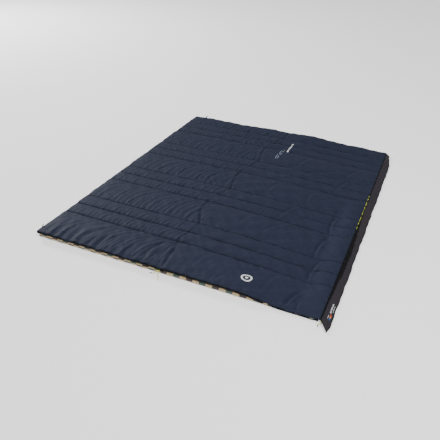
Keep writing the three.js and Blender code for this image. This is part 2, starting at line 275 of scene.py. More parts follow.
def mesh_piece(name: str, points: Array, faces: Array, uv: Array | None = None) -> Piece:
    """Make a mesh object at the origin from whole arrays.

    Args:
        name: the piece's name.
        points: vertex places, one row each, in the row frame.
        faces: rows of four vertex numbers, wound to face outwards.
        uv: a (u, v) row for each vertex, in metres of cloth, or None.

    Returns:
        The new object, smooth shaded and linked to the scene.
    """
    mesh = bpy.data.meshes.new(name)
    mesh.vertices.add(len(points))
    mesh.vertices.foreach_set("co", np.asarray(points, np.float32).ravel())
    mesh.loops.add(faces.size)
    mesh.loops.foreach_set("vertex_index", faces.astype(np.int32).ravel())
    mesh.polygons.add(len(faces))
    mesh.polygons.foreach_set("loop_start", np.arange(0, faces.size, faces.shape[1], dtype=np.int32))
    mesh.polygons.foreach_set("loop_total", np.full(len(faces), faces.shape[1], np.int32))
    mesh.polygons.foreach_set("use_smooth", np.ones(len(faces), bool))
    mesh.update(calc_edges=True)
    if uv is not None:
        layer = mesh.uv_layers.new(name="cloth")
        layer.data.foreach_set("uv", np.asarray(uv, np.float32)[faces.ravel()].ravel())
    mesh.validate()
    return linked(name, mesh)


def grid_faces(rows: int, columns: int, wrap: bool = False) -> Array:
    """Number the quads of a lattice of rows by columns; wrap joins the last column to the first."""
    span = columns if wrap else columns - 1
    row, column = np.meshgrid(np.arange(rows - 1), np.arange(span), indexing="ij")
    after = (column + 1) % columns
    this, above = row * columns, (row + 1) * columns
    corners = [this + column, above + column, above + after, this + after]
    return np.stack([corner.ravel() for corner in corners], axis=1)


def lattice_piece(name: str, points: Array, uv: Array | None = None, flip: bool = False) -> Piece:
    """Make a piece from a lattice of points of shape (rows, columns, 3)."""
    rows, columns = points.shape[:2]
    faces = grid_faces(rows, columns)
    flat_uv = None if uv is None else uv.reshape(-1, 2)
    return mesh_piece(name, points.reshape(-1, 3), faces[:, ::-1] if flip else faces, flat_uv)


def swept_tube(path: Array, radius: Array, sides: int) -> tuple[Array, Array, Array]:
    """Sweep a circle along a path, closed with a point at each end.

    The ring at each station is centre + radius (n cos a + b sin a), with n and b square to the
    path's direction and n kept as level as the path allows.

    Args:
        path: stations, one row each.
        radius: the circle's radius at each station.
        sides: corners of the circle.

    Returns:
        Vertex places, the side's quads and the end caps' triangles.
    """
    ahead = np.gradient(path, axis=0)
    ahead /= np.linalg.norm(ahead, axis=1, keepdims=True)
    level = np.cross(ahead, np.array([0.0, 0.0, 1.0]))
    weak = np.linalg.norm(level, axis=1) < 0.2
    level[weak] = np.cross(ahead[weak], np.array([0.0, 1.0, 0.0]))
    level /= np.linalg.norm(level, axis=1, keepdims=True)
    third = np.cross(level, ahead)
    angle = np.linspace(0, 2 * math.pi, sides, endpoint=False)
    ring = np.cos(angle)[None, :, None] * level[:, None] + np.sin(angle)[None, :, None] * third[:, None]
    points = path[:, None] + radius[:, None, None] * ring
    faces = grid_faces(len(path), sides, wrap=True)[:, ::-1]
    start, end = len(path) * sides, len(path) * sides + 1
    around = np.arange(sides)
    after = (around + 1) % sides
    last = (len(path) - 1) * sides
    triangles = np.concatenate([
        np.stack([around, after, np.full(sides, start)], axis=1),
        np.stack([last + after, last + around, np.full(sides, end)], axis=1),
    ])
    every = np.concatenate([points.reshape(-1, 3), path[:1], path[-1:]])
    return every, faces, triangles


def tube_piece(name: str, path: Array, radius: Array, sides: int) -> Piece:
    """Make a closed tube along a path as one mesh of quads and end triangles."""
    points, quads, triangles = swept_tube(path, radius, sides)
    mesh = bpy.data.meshes.new(name)
    mesh.from_pydata(points.tolist(), [], quads.tolist() + triangles.tolist())
    mesh.polygons.foreach_set("use_smooth", np.ones(len(mesh.polygons), bool))
    face_outwards(mesh)
    return linked(name, mesh)


def capped_rings(name: str, rings: Array, uv: Array, reverse: bool) -> Piece:
    """Join a row of rings into a closed piece with a flat cap at each end.

    Args:
        name: the piece's name.
        rings: corners of every ring, of shape (stations, corners, 3).
        uv: a (u, v) row for each corner, in metres of cloth.
        reverse: whether the rings run clockwise seen along the row.

    Returns:
        The closed piece, facing outwards, smooth but for its caps.
    """
    count, corners = rings.shape[:2]
    quads = grid_faces(count, corners, wrap=True)
    caps = np.arange(corners) + np.array([[0], [(count - 1) * corners]])
    caps[1] = caps[1, ::-1]
    if reverse:
        quads, caps = quads[:, ::-1], caps[:, ::-1]
    mesh = bpy.data.meshes.new(name)
    mesh.from_pydata(rings.reshape(-1, 3).tolist(), [], quads.tolist() + caps.tolist())
    mesh.polygons.foreach_set("use_smooth", np.array([True] * len(quads) + [False, False]))
    layer = mesh.uv_layers.new(name="cloth")
    index = np.empty(len(mesh.loops), np.int32)
    mesh.loops.foreach_get("vertex_index", index)
    layer.data.foreach_set("uv", uv.reshape(-1, 2)[index].astype(np.float32).ravel())
    face_outwards(mesh)
    return linked(name, mesh)


def rounded_section(width: float, height: float, power: float, turn: float) -> Array:
    """Shape a rounded rectangle of twelve corners: |cos|^power and |sin|^power with their signs."""
    angle = np.linspace(0, 2 * math.pi, 12, endpoint=False) + turn
    flat = np.sign(np.cos(angle)) * np.abs(np.cos(angle)) ** power * width / 2
    tall = np.sign(np.sin(angle)) * np.abs(np.sin(angle)) ** power * height / 2
    return np.stack([flat, tall], axis=-1)


def swept_section(name: str, centres: Array, sideways: Array, upward: Array, section: Array) -> Piece:
    """Carry a closed section along a line of centres: centre + p sideways + q upward.

    Args:
        name: the piece's name.
        centres: stations, one row each.
        sideways: the section's first direction, one row for each station or one for all.
        upward: its second direction, likewise; sideways x upward points along the path.
        section: (p, q) corners, anticlockwise, for each station or one set for all.

    Returns:
        A closed piece, capped at both ends.
    """
    p, q = section[..., 0, None], section[..., 1, None]
    points = centres[:, None] + p * sideways[:, None] + q * upward[:, None]
    run = np.concatenate([[0], np.cumsum(np.linalg.norm(np.diff(centres, axis=0), axis=1))])
    shape = points.shape[:2]
    uv = np.stack([np.broadcast_to(section[..., 0], shape), np.broadcast_to(run[:, None], shape)], axis=-1)
    return capped_rings(name, points, uv, reverse=True)


def scattered(name: str, shape: Array, faces: Array, centres: Array, axes: Array) -> Piece:
    """Repeat a small shape: every copy is centre + shape turned into that copy's own axes.

    Args:
        name: the piece's name.
        shape: the shape's corners, one row each.
        faces: its faces as rows of corner numbers.
        centres: one centre for each copy.
        axes: one 3 by 3 for each copy, whose rows are the shape's x, y and z directions.

    Returns:
        All the copies as one piece.
    """
    points = centres[:, None] + np.einsum("kj,njd->nkd", shape, axes)
    every = faces[None] + (np.arange(len(centres)) * len(shape))[:, None, None]
    return mesh_piece(name, points.reshape(-1, 3), every.reshape(-1, faces.shape[1]))


def lozenge(length: float, width: float, height: float) -> tuple[Array, Array]:
    """Shape a stitch: a square ring at its middle, a smaller one near each end, and flat ends."""
    ring = np.array([(1, -1), (1, 1), (-1, 1), (-1, -1)]) * 0.5
    rows = []
    for place, share in ((-0.5, 0.45), (-0.25, 0.95), (0.25, 0.95), (0.5, 0.45)):
        x = np.full((4, 1), place * length)
        rows.append(np.hstack([x, ring * (width * share, height * share)]))
    faces = grid_faces(4, 4, wrap=True)[:, ::-1]
    return np.vstack(rows), np.vstack([faces, [(0, 3, 2, 1)], [(12, 13, 14, 15)]])


def spline_through(points: Array, count: int) -> Array:
    """Run a Catmull-Rom curve through points and read it at even parameter steps."""
    padded = np.vstack([2 * points[0] - points[1], points, 2 * points[-1] - points[-2]])
    place = np.linspace(0, len(points) - 1, count)
    step = np.minimum(place.astype(int), len(points) - 2)
    t = (place - step)[:, None]
    a, b, c, d = (padded[step + offset] for offset in range(4))
    return 0.5 * (2 * b + (c - a) * t + (2 * a - 5 * b + 4 * c - d) * t**2 + (3 * b - a - 3 * c + d) * t**3)


@dataclass(frozen=True)
class TurnedPanel:
    """A rectangular panel whose four edges turn down or up by a profile.

    Inside, a point keeps its place on the lattice. Past an edge, it moves out square to the edge
    by the profile. At a corner it moves out along a direction that swings from one edge's to the
    other's, as the two distances past the edges say.
    """

    xs: Array
    ys: Array
    margin: Array

    def stations(self) -> tuple[Array, Array, Array, Array]:
        """Places along x and y with the signed distance past the edge: minus left or foot."""
        turned = self.margin[1:]
        x = np.concatenate([np.full(len(turned), self.xs[0]), self.xs, np.full(len(turned), self.xs[-1])])
        y = np.concatenate([np.full(len(turned), self.ys[0]), self.ys, np.full(len(turned), self.ys[-1])])
        past_x = np.concatenate([-turned[::-1], np.zeros(len(self.xs)), turned])
        past_y = np.concatenate([-turned[::-1], np.zeros(len(self.ys)), turned])
        return x, y, past_x, past_y

    def lattice(self) -> dict[str, Array]:
        """Work out, for the whole lattice, places, directions out of the panel and distances past it."""
        x, y, past_x, past_y = self.stations()
        place_x, place_y = np.meshgrid(x, y, indexing="ij")
        out_x, out_y = np.meshgrid(past_x, past_y, indexing="ij")
        total = np.abs(out_x) + np.abs(out_y)
        swing = np.where(total > 0, np.abs(out_y) / np.where(total > 0, total, 1), 0) * math.pi / 2
        return {
            "x": place_x,
            "y": place_y,
            "past": np.maximum(np.abs(out_x), np.abs(out_y)),
            "dir_x": np.sign(out_x) * np.cos(swing) * (total > 0),
            "dir_y": np.sign(out_y) * np.sin(swing) * (total > 0),
            "u": place_x + out_x,
            "v": place_y + out_y,
        }


# ---------------------------------------------------------------- materials


class Shader:
    """A material under construction: a thin wrapper that adds and links nodes."""

    def __init__(self, name: str) -> None:
        """Start an empty node tree with a Principled BSDF and an output."""
        self.material = bpy.data.materials.new(name)
        self.material.use_nodes = True
        self.tree = self.material.node_tree
        self.tree.nodes.clear()
        self.surface = self.tree.nodes.new("ShaderNodeBsdfPrincipled")
        output = self.tree.nodes.new("ShaderNodeOutputMaterial")
        self.tree.links.new(self.surface.outputs[0], output.inputs[0])

    def node(self, kind: str, sockets: dict | None = None, **settings) -> bpy.types.Node:
        """Add a node, set its properties and fill or link its sockets."""
        return add_node(self.tree, kind, sockets, **settings)

    def set(self, **values) -> None:
        """Set plain values on the surface's own sockets; underscores stand for spaces."""
        for key, value in values.items():
            self.surface.inputs[key.replace("_", " ")].default_value = value

    def link(self, socket: str, source: Socket) -> None:
        """Feed a surface socket from another node."""
        self.tree.links.new(source, self.surface.inputs[socket])

    def bump(self, height: Socket, strength: float, distance: float) -> None:
        """Feed the surface's normal from a height through one Bump node."""
        bump = self.node("ShaderNodeBump", {"Height": height, "Strength": strength, "Distance": distance})
        self.link("Normal", bump.outputs["Normal"])


def add_node(tree: Tree, kind: str, sockets: dict | None = None, **settings) -> bpy.types.Node:
    """Add a node to a tree; a socket's value is a number, a colour, a vector or another socket."""
    made = tree.nodes.new(kind)
    for key, value in settings.items():
        setattr(made, key, value)
    for key, value in (sockets or {}).items():
        if isinstance(value, Socket):
            tree.links.new(value, made.inputs[key])
        else:
            made.inputs[key].default_value = value
    return made


def maths(tree: Tree, operation: str, first, second=0.0, third=0.0) -> Socket:
    """Add a Math node and give back its result."""
    return add_node(tree, "ShaderNodeMath", {0: first, 1: second, 2: third}, operation=operation).outputs[0]


def noise(tree: Tree, place: Socket, scale: float | Socket, detail: float, distortion: float = 0.0) -> Socket:
    """Add a noise texture and give back its value."""
    sockets = {"Vector": place, "Scale": scale, "Detail": detail, "Distortion": distortion}
    return add_node(tree, "ShaderNodeTexNoise", sockets).outputs["Fac"]


def blend_colours(tree: Tree, factor, first, second) -> Socket:
    """Mix two colours by a factor."""
    mix = add_node(tree, "ShaderNodeMix", data_type="RGBA")
    for index, value in ((0, factor), (6, first), (7, second)):
        if isinstance(value, Socket):
            tree.links.new(value, mix.inputs[index])
        elif index == 0:
            mix.inputs[index].default_value = value
        else:
            mix.inputs[index].default_value = (*value, 1)
    return mix.outputs[2]


def new_group(name: str, inputs: dict[str, str], outputs: dict[str, str]) -> Tree:
    """Start a shader node group with named sockets.

    Args:
        name: the group's name.
        inputs: socket name to socket type, in order.
        outputs: the same for what it gives.

    Returns:
        The node tree, holding only its input and output nodes.
    """
    tree = bpy.data.node_groups.new(name, "ShaderNodeTree")
    for label, kind in inputs.items():
        tree.interface.new_socket(name=label, in_out="INPUT", socket_type=kind)
    for label, kind in outputs.items():
        tree.interface.new_socket(name=label, in_out="OUTPUT", socket_type=kind)
    tree.nodes.new("NodeGroupInput")
    tree.nodes.new("NodeGroupOutput")
    return tree


def group_ends(tree: Tree) -> tuple[bpy.types.Node, bpy.types.Node]:
    """Find a group's input node and output node."""
    kinds = {made.bl_idname: made for made in tree.nodes}
    return kinds["NodeGroupInput"], kinds["NodeGroupOutput"]


def weave_group() -> Tree:
    """Build the weave: threads over and under, as the product of two sines of the cloth's place.

    Height is sin(2 pi x / pitch) sin(2 pi y / pitch) with a little fine noise, from 0 to 1.
    """
    tree = new_group(
        "weave",
        {"Place": "NodeSocketVector", "Pitch": "NodeSocketFloat", "Fuzz": "NodeSocketFloat"},
        {"Height": "NodeSocketFloat"},
    )
    start, end = group_ends(tree)
    parts = add_node(tree, "ShaderNodeSeparateXYZ", {0: start.outputs["Place"]})
    turn = maths(tree, "DIVIDE", 2 * math.pi, start.outputs["Pitch"])
    warp = maths(tree, "SINE", maths(tree, "MULTIPLY", parts.outputs["X"], turn))
    weft = maths(tree, "SINE", maths(tree, "MULTIPLY", parts.outputs["Y"], turn))
    threads = maths(tree, "MULTIPLY_ADD", maths(tree, "MULTIPLY", warp, weft), 0.5, 0.5)
    fuzz = maths(tree, "MULTIPLY", noise(tree, start.outputs["Place"], 900.0, 2.0), start.outputs["Fuzz"])
    tree.links.new(maths(tree, "ADD", threads, fuzz), end.inputs["Height"])
    return tree


def mottle_group() -> Tree:
    """Build broad colour variation: two noises of different size, averaged, from 0 to 1."""
    tree = new_group(
        "mottle",
        {"Place": "NodeSocketVector", "Broad": "NodeSocketFloat", "Fine": "NodeSocketFloat"},
        {"Value": "NodeSocketFloat"},
    )
    start, end = group_ends(tree)
    place = start.outputs["Place"]
    broad = noise(tree, place, start.outputs["Broad"], 2.0)
    fine = noise(tree, place, start.outputs["Fine"], 3.0)
    total = maths(tree, "ADD", broad, fine)
    tree.links.new(maths(tree, "MULTIPLY", total, 0.5), end.inputs["Value"])
    return tree


class Effects:
    """The shared node groups, built once."""

    def __init__(self) -> None:
        """Build the groups."""
        self.weave = weave_group()
        self.mottle = mottle_group()

    def woven(self, shader: Shader, place: Socket, pitch: float, fuzz: float) -> Socket:
        """Place the weave in a material and give back its height."""
        sockets = {"Place": place, "Pitch": pitch, "Fuzz": fuzz}
        return shader.node("ShaderNodeGroup", sockets, node_tree=self.weave).outputs["Height"]

    def mottled(self, shader: Shader, place: Socket, broad: float, fine: float) -> Socket:
        """Place the mottle in a material and give back its value."""
        sockets = {"Place": place, "Broad": broad, "Fine": fine}
        return shader.node("ShaderNodeGroup", sockets, node_tree=self.mottle).outputs["Value"]


@dataclass(frozen=True)
class ClothFinish:
    """A plain woven cloth with sheen, mottling and a bumpy weave."""

    name: str
    dark: Colour
    light: Colour
    roughness: float
    sheen: float = 0.0
    pitch: float = 0.0009
    weave_depth: float = 0.00012
    uses_uv: bool = False
    creases: float = 0.0
    # Whether the colour darkens as painted shade where the cloth tucks into seams and creases.
    shade_tucks: bool = False

    def build(self, effects: Effects) -> Material:
        """Make the material: two tones mixed by the mottle, painted tuck shade, weave and fine creases in the
        bump.
        """
        shader = Shader(self.name)
        coordinates = shader.node("ShaderNodeTexCoord")
        place = coordinates.outputs["UV" if self.uses_uv else "Object"]
        mottle = effects.mottled(shader, place, 3.0, 40.0)
        colour = blend_colours(shader.tree, mottle, self.dark, self.light)
        # Painted shade: the colour darkens towards a dimmer copy of the dark tone where the cloth tucks in.
        if self.shade_tucks:
            painted_tuck_shade = shader.node("ShaderNodeAttribute", attribute_name="painted_tuck_shade").outputs["Fac"]
            painted_shade = tuple(0.35 * value for value in self.dark)
            colour = blend_colours(shader.tree, maths(shader.tree, "MULTIPLY", painted_tuck_shade, 0.55), colour, painted_shade)
        shader.link("Base Color", colour)
        rough = maths(shader.tree, "MULTIPLY_ADD", mottle, 0.12, self.roughness - 0.06)
        shader.link("Roughness", rough)
        shader.set(Sheen_Weight=self.sheen, Sheen_Roughness=0.4, Specular_IOR_Level=0.18)
        height = effects.woven(shader, place, self.pitch, 0.6)
        height = maths(shader.tree, "MULTIPLY", height, self.weave_depth)
        if self.creases > 0:
            wrinkles = noise(shader.tree, place, 38.0, 3.0, 0.8)
            height = maths(shader.tree, "MULTIPLY_ADD", wrinkles, self.creases, height)
        shader.bump(height, 0.9, 1.0)
        return shader.material


@dataclass(frozen=True)
class CheckedFlannel:
    """Brushed flannel with a check of tan, brown and grey-teal squares."""

    name: str = "checked_flannel"
    cell: float = 0.0403
    tan: Colour = srgb(232, 206, 158)
    brown: Colour = srgb(78, 64, 66)
    teal: Colour = srgb(78, 102, 98)

    def build(self, effects: Effects) -> Material:
        """Make the material.

        The cloth's u and v over the cell size give whole numbers i and j. Where i - j is odd the
        square is tan; where it divides by four it is brown, and else teal.
        """
        shader = Shader(self.name)
        tree = shader.tree
        place = shader.node("ShaderNodeTexCoord").outputs["UV"]
        wobble = shader.node("ShaderNodeTexNoise", {"Vector": place, "Scale": 12.0, "Detail": 1.0})
        shift = {0: wobble.outputs["Color"], "Scale": 0.004}
        soft = shader.node("ShaderNodeVectorMath", shift, operation="SCALE")
        moved = shader.node("ShaderNodeVectorMath", {0: place, 1: soft.outputs[0]}, operation="ADD")
        parts = shader.node("ShaderNodeSeparateXYZ", {0: moved.outputs[0]})
        i = maths(tree, "FLOOR", maths(tree, "DIVIDE", parts.outputs["X"], self.cell))
        j = maths(tree, "FLOOR", maths(tree, "DIVIDE", parts.outputs["Y"], -self.cell))
        step = maths(tree, "SUBTRACT", i, j)
        pale = maths(tree, "FLOORED_MODULO", step, 2.0)
        teal = maths(tree, "GREATER_THAN", maths(tree, "FLOORED_MODULO", step, 4.0), 1.5)
        dark = blend_colours(tree, teal, self.brown, self.teal)
        checked = blend_colours(tree, pale, dark, self.tan)
        mottle = effects.mottled(shader, place, 9.0, 160.0)
        faded = maths(tree, "MULTIPLY_ADD", mottle, 0.3, -0.08)
        # Painted shade: the check darkens towards a brown-black close to the seams.
        painted_tuck_shade = shader.node("ShaderNodeAttribute", attribute_name="painted_tuck_shade").outputs["Fac"]
        worn = blend_colours(tree, faded, checked, srgb(186, 168, 134))
        painted_shade = maths(tree, "MULTIPLY", painted_tuck_shade, 0.6)
        shader.link("Base Color", blend_colours(tree, painted_shade, worn, srgb(58, 50, 48)))
        height = maths(tree, "MULTIPLY", noise(tree, place, 700.0, 3.0), 0.0006)
        weave = maths(tree, "MULTIPLY_ADD", effects.woven(shader, place, 0.0016, 0.3), 0.0002, height)
        shader.bump(weave, 0.8, 1.0)
        shader.set(Roughness=0.95, Sheen_Weight=0.35, Sheen_Roughness=0.6, Specular_IOR_Level=0.2)
        return shader.material


@dataclass(frozen=True)
class MouldedFinish:
    """Plastic or painted metal with a fine grain."""

    name: str
    colour: Colour
    roughness: float
    metallic: float = 0.0
    grain: float = 900.0

    def build(self, effects: Effects) -> Material:
        """Make the material: colour worn a little lighter by the mottle, and a fine grained bump."""
        shader = Shader(self.name)
        place = shader.node("ShaderNodeTexCoord").outputs["Object"]
        mottle = effects.mottled(shader, place, 60.0, 400.0)
        worn = tuple(min(1.0, c * 1.5 + 0.01) for c in self.colour)
        shader.link("Base Color", blend_colours(shader.tree, mottle, self.colour, worn))
        shader.link("Roughness", maths(shader.tree, "MULTIPLY_ADD", mottle, 0.2, self.roughness - 0.1))
        shader.set(Metallic=self.metallic)
        grain = noise(shader.tree, place, self.grain, 2.0)
        shader.bump(maths(shader.tree, "MULTIPLY", grain, 0.00008), 0.7, 1.0)
        return shader.material


@dataclass(frozen=True)
class CordFinish:
    """Braided cord: two slanted sines of the cord's own place cross into a braid."""

    name: str
    colour: Colour
    shade: Colour

    def build(self, effects: Effects) -> Material:
        """Make the material from Object coordinates."""
        shader = Shader(self.name)
        tree = shader.tree
        place = shader.node("ShaderNodeTexCoord").outputs["Object"]
        wave = {"Vector": place, "Scale": 260.0, "Distortion": 0.4}
        first = shader.node("ShaderNodeTexWave", wave, bands_direction="DIAGONAL")
        second = shader.node("ShaderNodeTexWave", {**wave, "Phase Offset": 1.6}, bands_direction="X")
        braid = maths(tree, "MAXIMUM", first.outputs["Fac"], second.outputs["Fac"])
        shader.link("Base Color", blend_colours(tree, braid, self.shade, self.colour))
        shader.bump(maths(tree, "MULTIPLY", braid, 0.0003), 0.8, 1.0)
        shader.set(Roughness=0.75, Sheen_Weight=0.3)
        return shader.material


@dataclass(frozen=True)
class BaffleFinish:
    """Charcoal cloth, black at its inner seam, with painted shade reaching further where it gathers."""

    name: str = "baffle_charcoal"
    charcoal: Colour = srgb(44, 40, 46)
    worn: Colour = srgb(60, 56, 63)
    # Black of the seam band, also used as painted shade of the gathered folds.
    black: Colour = srgb(9, 9, 12)

    def build(self, effects: Effects) -> Material:
        """Make the material.

        u runs across the flap from its inner seam and v along it, both in metres. Black reaches about
        6 mm from the seam; painted shade of the gathered folds adds 22 mm near v = 0.62 m, with a ragged
        edge.
        """
        shader = Shader(self.name)
        tree = shader.tree
        place = shader.node("ShaderNodeTexCoord").outputs["UV"]
        parts = shader.node("ShaderNodeSeparateXYZ", {0: place})
        # Painted shade: the black band widens into the shade of the gathered folds near v = 0.62 m.
        away = maths(tree, "DIVIDE", maths(tree, "SUBTRACT", parts.outputs["Y"], 0.62), 0.36)
        fold_shade_swell = maths(tree, "EXPONENT", maths(tree, "MULTIPLY", maths(tree, "MULTIPLY", away, away), -1.0))
        ragged = noise(tree, place, 34.0, 2.0)
        reach = maths(tree, "MULTIPLY_ADD", fold_shade_swell, 0.022, 0.004)
        reach = maths(tree, "ADD", reach, maths(tree, "MULTIPLY_ADD", ragged, 0.016, -0.006))
        inside = maths(tree, "SUBTRACT", reach, parts.outputs["X"])
        dark = shader.node("ShaderNodeMapRange", {"Value": inside, "From Min": -0.002, "From Max": 0.002})
        mottle = effects.mottled(shader, place, 8.0, 60.0)
        cloth = blend_colours(tree, mottle, self.charcoal, self.worn)
        shader.link("Base Color", blend_colours(tree, dark.outputs["Result"], cloth, self.black))
        shader.link("Roughness", maths(tree, "MULTIPLY_ADD", mottle, 0.12, 0.5))
        shader.set(Specular_IOR_Level=0.2)
        creases = noise(tree, place, 45.0, 3.0, 0.8)
        height = maths(tree, "MULTIPLY", effects.woven(shader, place, 0.0009, 0.6), 0.00012)
        shader.bump(maths(tree, "MULTIPLY_ADD", creases, 0.0035, height), 0.9, 1.0)
        return shader.material


@dataclass(frozen=True)
class WovenLabel:
    """A woven label with plain pale dashes and three blocks of colour, and nothing to read."""

    name: str = "woven_label"
    ground: Colour = srgb(30, 30, 36)
    pale: Colour = srgb(226, 228, 232)
    red: Colour = srgb(190, 60, 50)
    orange: Colour = srgb(226, 140, 50)
    blue: Colour = srgb(50, 90, 170)

    def build(self, effects: Effects) -> Material:
        """Make the material: u runs along the label from 0 to 1 and v across it."""
        shader = Shader(self.name)
        tree = shader.tree
        place = shader.node("ShaderNodeTexCoord").outputs["UV"]
        parts = shader.node("ShaderNodeSeparateXYZ", {0: place})
        u, v = parts.outputs["X"], parts.outputs["Y"]
        dash = maths(tree, "SINE", maths(tree, "MULTIPLY", u, 95.0))
        slow = maths(tree, "SINE", maths(tree, "MULTIPLY", u, 31.0))
        uneven = maths(tree, "ADD", dash, maths(tree, "MULTIPLY", slow, 0.5))
        broken = maths(tree, "GREATER_THAN", uneven, -0.45)
        colour = blend_colours(tree, 0.0, self.ground, self.ground)
        for start, stop, centre, half, tint, dashed in (
            (0.42, 0.90, 0.32, 0.13, self.pale, True), (0.52, 0.84, 0.72, 0.07, self.pale, True),
            (0.10, 0.30, 0.12, 0.05, self.pale, True), (0.28, 0.38, 0.50, 0.15, self.red, False),
            (0.20, 0.28, 0.50, 0.15, self.orange, False), (0.10, 0.20, 0.50, 0.15, self.blue, False),
        ):
            middle, reach = (start + stop) / 2, (stop - start) / 2
            within = maths(tree, "COMPARE", u, middle, reach)
            mask = maths(tree, "MULTIPLY", within, maths(tree, "COMPARE", v, centre, half))
            if dashed:
                mask = maths(tree, "MULTIPLY", mask, broken)
            colour = blend_colours(tree, mask, colour, tint)
        shader.link("Base Color", colour)
        objects = shader.node("ShaderNodeTexCoord").outputs["Object"]
        shader.bump(maths(tree, "MULTIPLY", effects.woven(shader, objects, 0.0007, 0.4), 0.0001), 0.8, 1.0)
        shader.set(Roughness=0.7, Sheen_Weight=0.1)
        return shader.material


class Finishes:
    """Every finish of the quilt, built once."""

    def __init__(self) -> None:
        """Build the materials that more than one piece may use."""
        effects = Effects()

        def cloth(
            name: str, dark: Colour, light: Colour, roughness: float, sheen: float = 0.1, **more,
        ) -> Material:
            """Make a woven finish."""
            return ClothFinish(name, dark, light, roughness, sheen, **more).build(effects)

        def moulded(name: str, colour: Colour, roughness: float, metallic: float = 0.0) -> Material:
            """Make a plastic, film or metal finish."""
            return MouldedFinish(name, colour, roughness, metallic).build(effects)

        self.shell = cloth(
            "shell_polyester", srgb(32, 39, 58), srgb(43, 48, 69), 0.72, sheen=0.0,
            uses_uv=True, creases=0.0026, shade_tucks=True,
        )
        self.flannel = CheckedFlannel().build(effects)
        self.binding = cloth("binding_black", srgb(14, 15, 18), srgb(26, 27, 31), 0.8)
        self.tape = cloth("zip_tape_black", srgb(13, 14, 17), srgb(24, 25, 29), 0.85)
        self.baffle = BaffleFinish().build(effects)
        self.wadding = cloth(
            "wadding_white", srgb(216, 214, 206), srgb(238, 236, 230), 1.0, sheen=0.6,
            pitch=0.004, weave_depth=0.0012,
        )
        self.thread = cloth("quilting_thread", srgb(24, 31, 44), srgb(36, 45, 62), 0.7, sheen=0.2)
        self.print = moulded("transfer_print", srgb(226, 229, 232), 0.45)
        self.faint_print = moulded("transfer_print_faint", srgb(128, 142, 158), 0.5)
        self.metal = moulded("slider_black", srgb(22, 23, 26), 0.4, metallic=0.6)
        self.plastic = moulded("moulded_black", srgb(18, 19, 21), 0.5)
        self.coil_lime = moulded("zip_coil_lime", srgb(220, 238, 60), 0.45)
        self.coil_dark = moulded("zip_coil_dark", srgb(30, 31, 34), 0.45)
        self.cord = CordFinish("pull_cord_lime", srgb(236, 246, 50), srgb(196, 208, 30)).build(effects)
        self.webbing = cloth(
            "webbing_black", srgb(12, 13, 16), srgb(22, 23, 28), 0.8, pitch=0.0022, weave_depth=0.0004,
        )
        self.label = WovenLabel().build(effects)
        self.floor = self.make_floor()

    @staticmethod
    def make_floor() -> Material:
        """Make the plain pale floor: matt white that also glows a little where it is seen directly."""
        shader = Shader("pale_floor")
        shader.set(Base_Color=(0.93, 0.93, 0.93, 1), Roughness=0.95, Specular_IOR_Level=0.05)
        glow = 0.75
        seen = shader.node("ShaderNodeLightPath").outputs["Is Camera Ray"]
        shader.link("Emission Strength", maths(shader.tree, "MULTIPLY", seen, glow))
        shader.set(Emission_Color=(1, 1, 1, 1))
        return shader.material


def dress(obj: Piece, material: Material) -> None:
    """Give an object one material in place of what it has."""
    obj.data.materials.clear()
    obj.data.materials.append(material)


def fit(piece: Piece, material: Material, slot: str, *nodes: str, body: str | None = None) -> None:
    """Finish a piece and tie it to the frame.

    Args:
        piece: the piece.
        material: its finish.
        slot: not used.
        nodes: the frame's nodes that it stands for.
        body: the body it rides on, or None where it rides on neither.
    """
    dress(piece, material)
    if nodes:
        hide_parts(*nodes)
    if body is not None:
        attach(piece, body)


def mark_painted_tuck_shade(piece: Piece, depth: Array) -> None:
    """Write how deep each point lies in a seam or crease, for the finish to darken as painted shade."""
    layer = piece.data.attributes.new("painted_tuck_shade", "FLOAT", "POINT")
    layer.data.foreach_set("value", depth.astype(np.float32).ravel())


# ---------------------------------------------------------------- camera and light


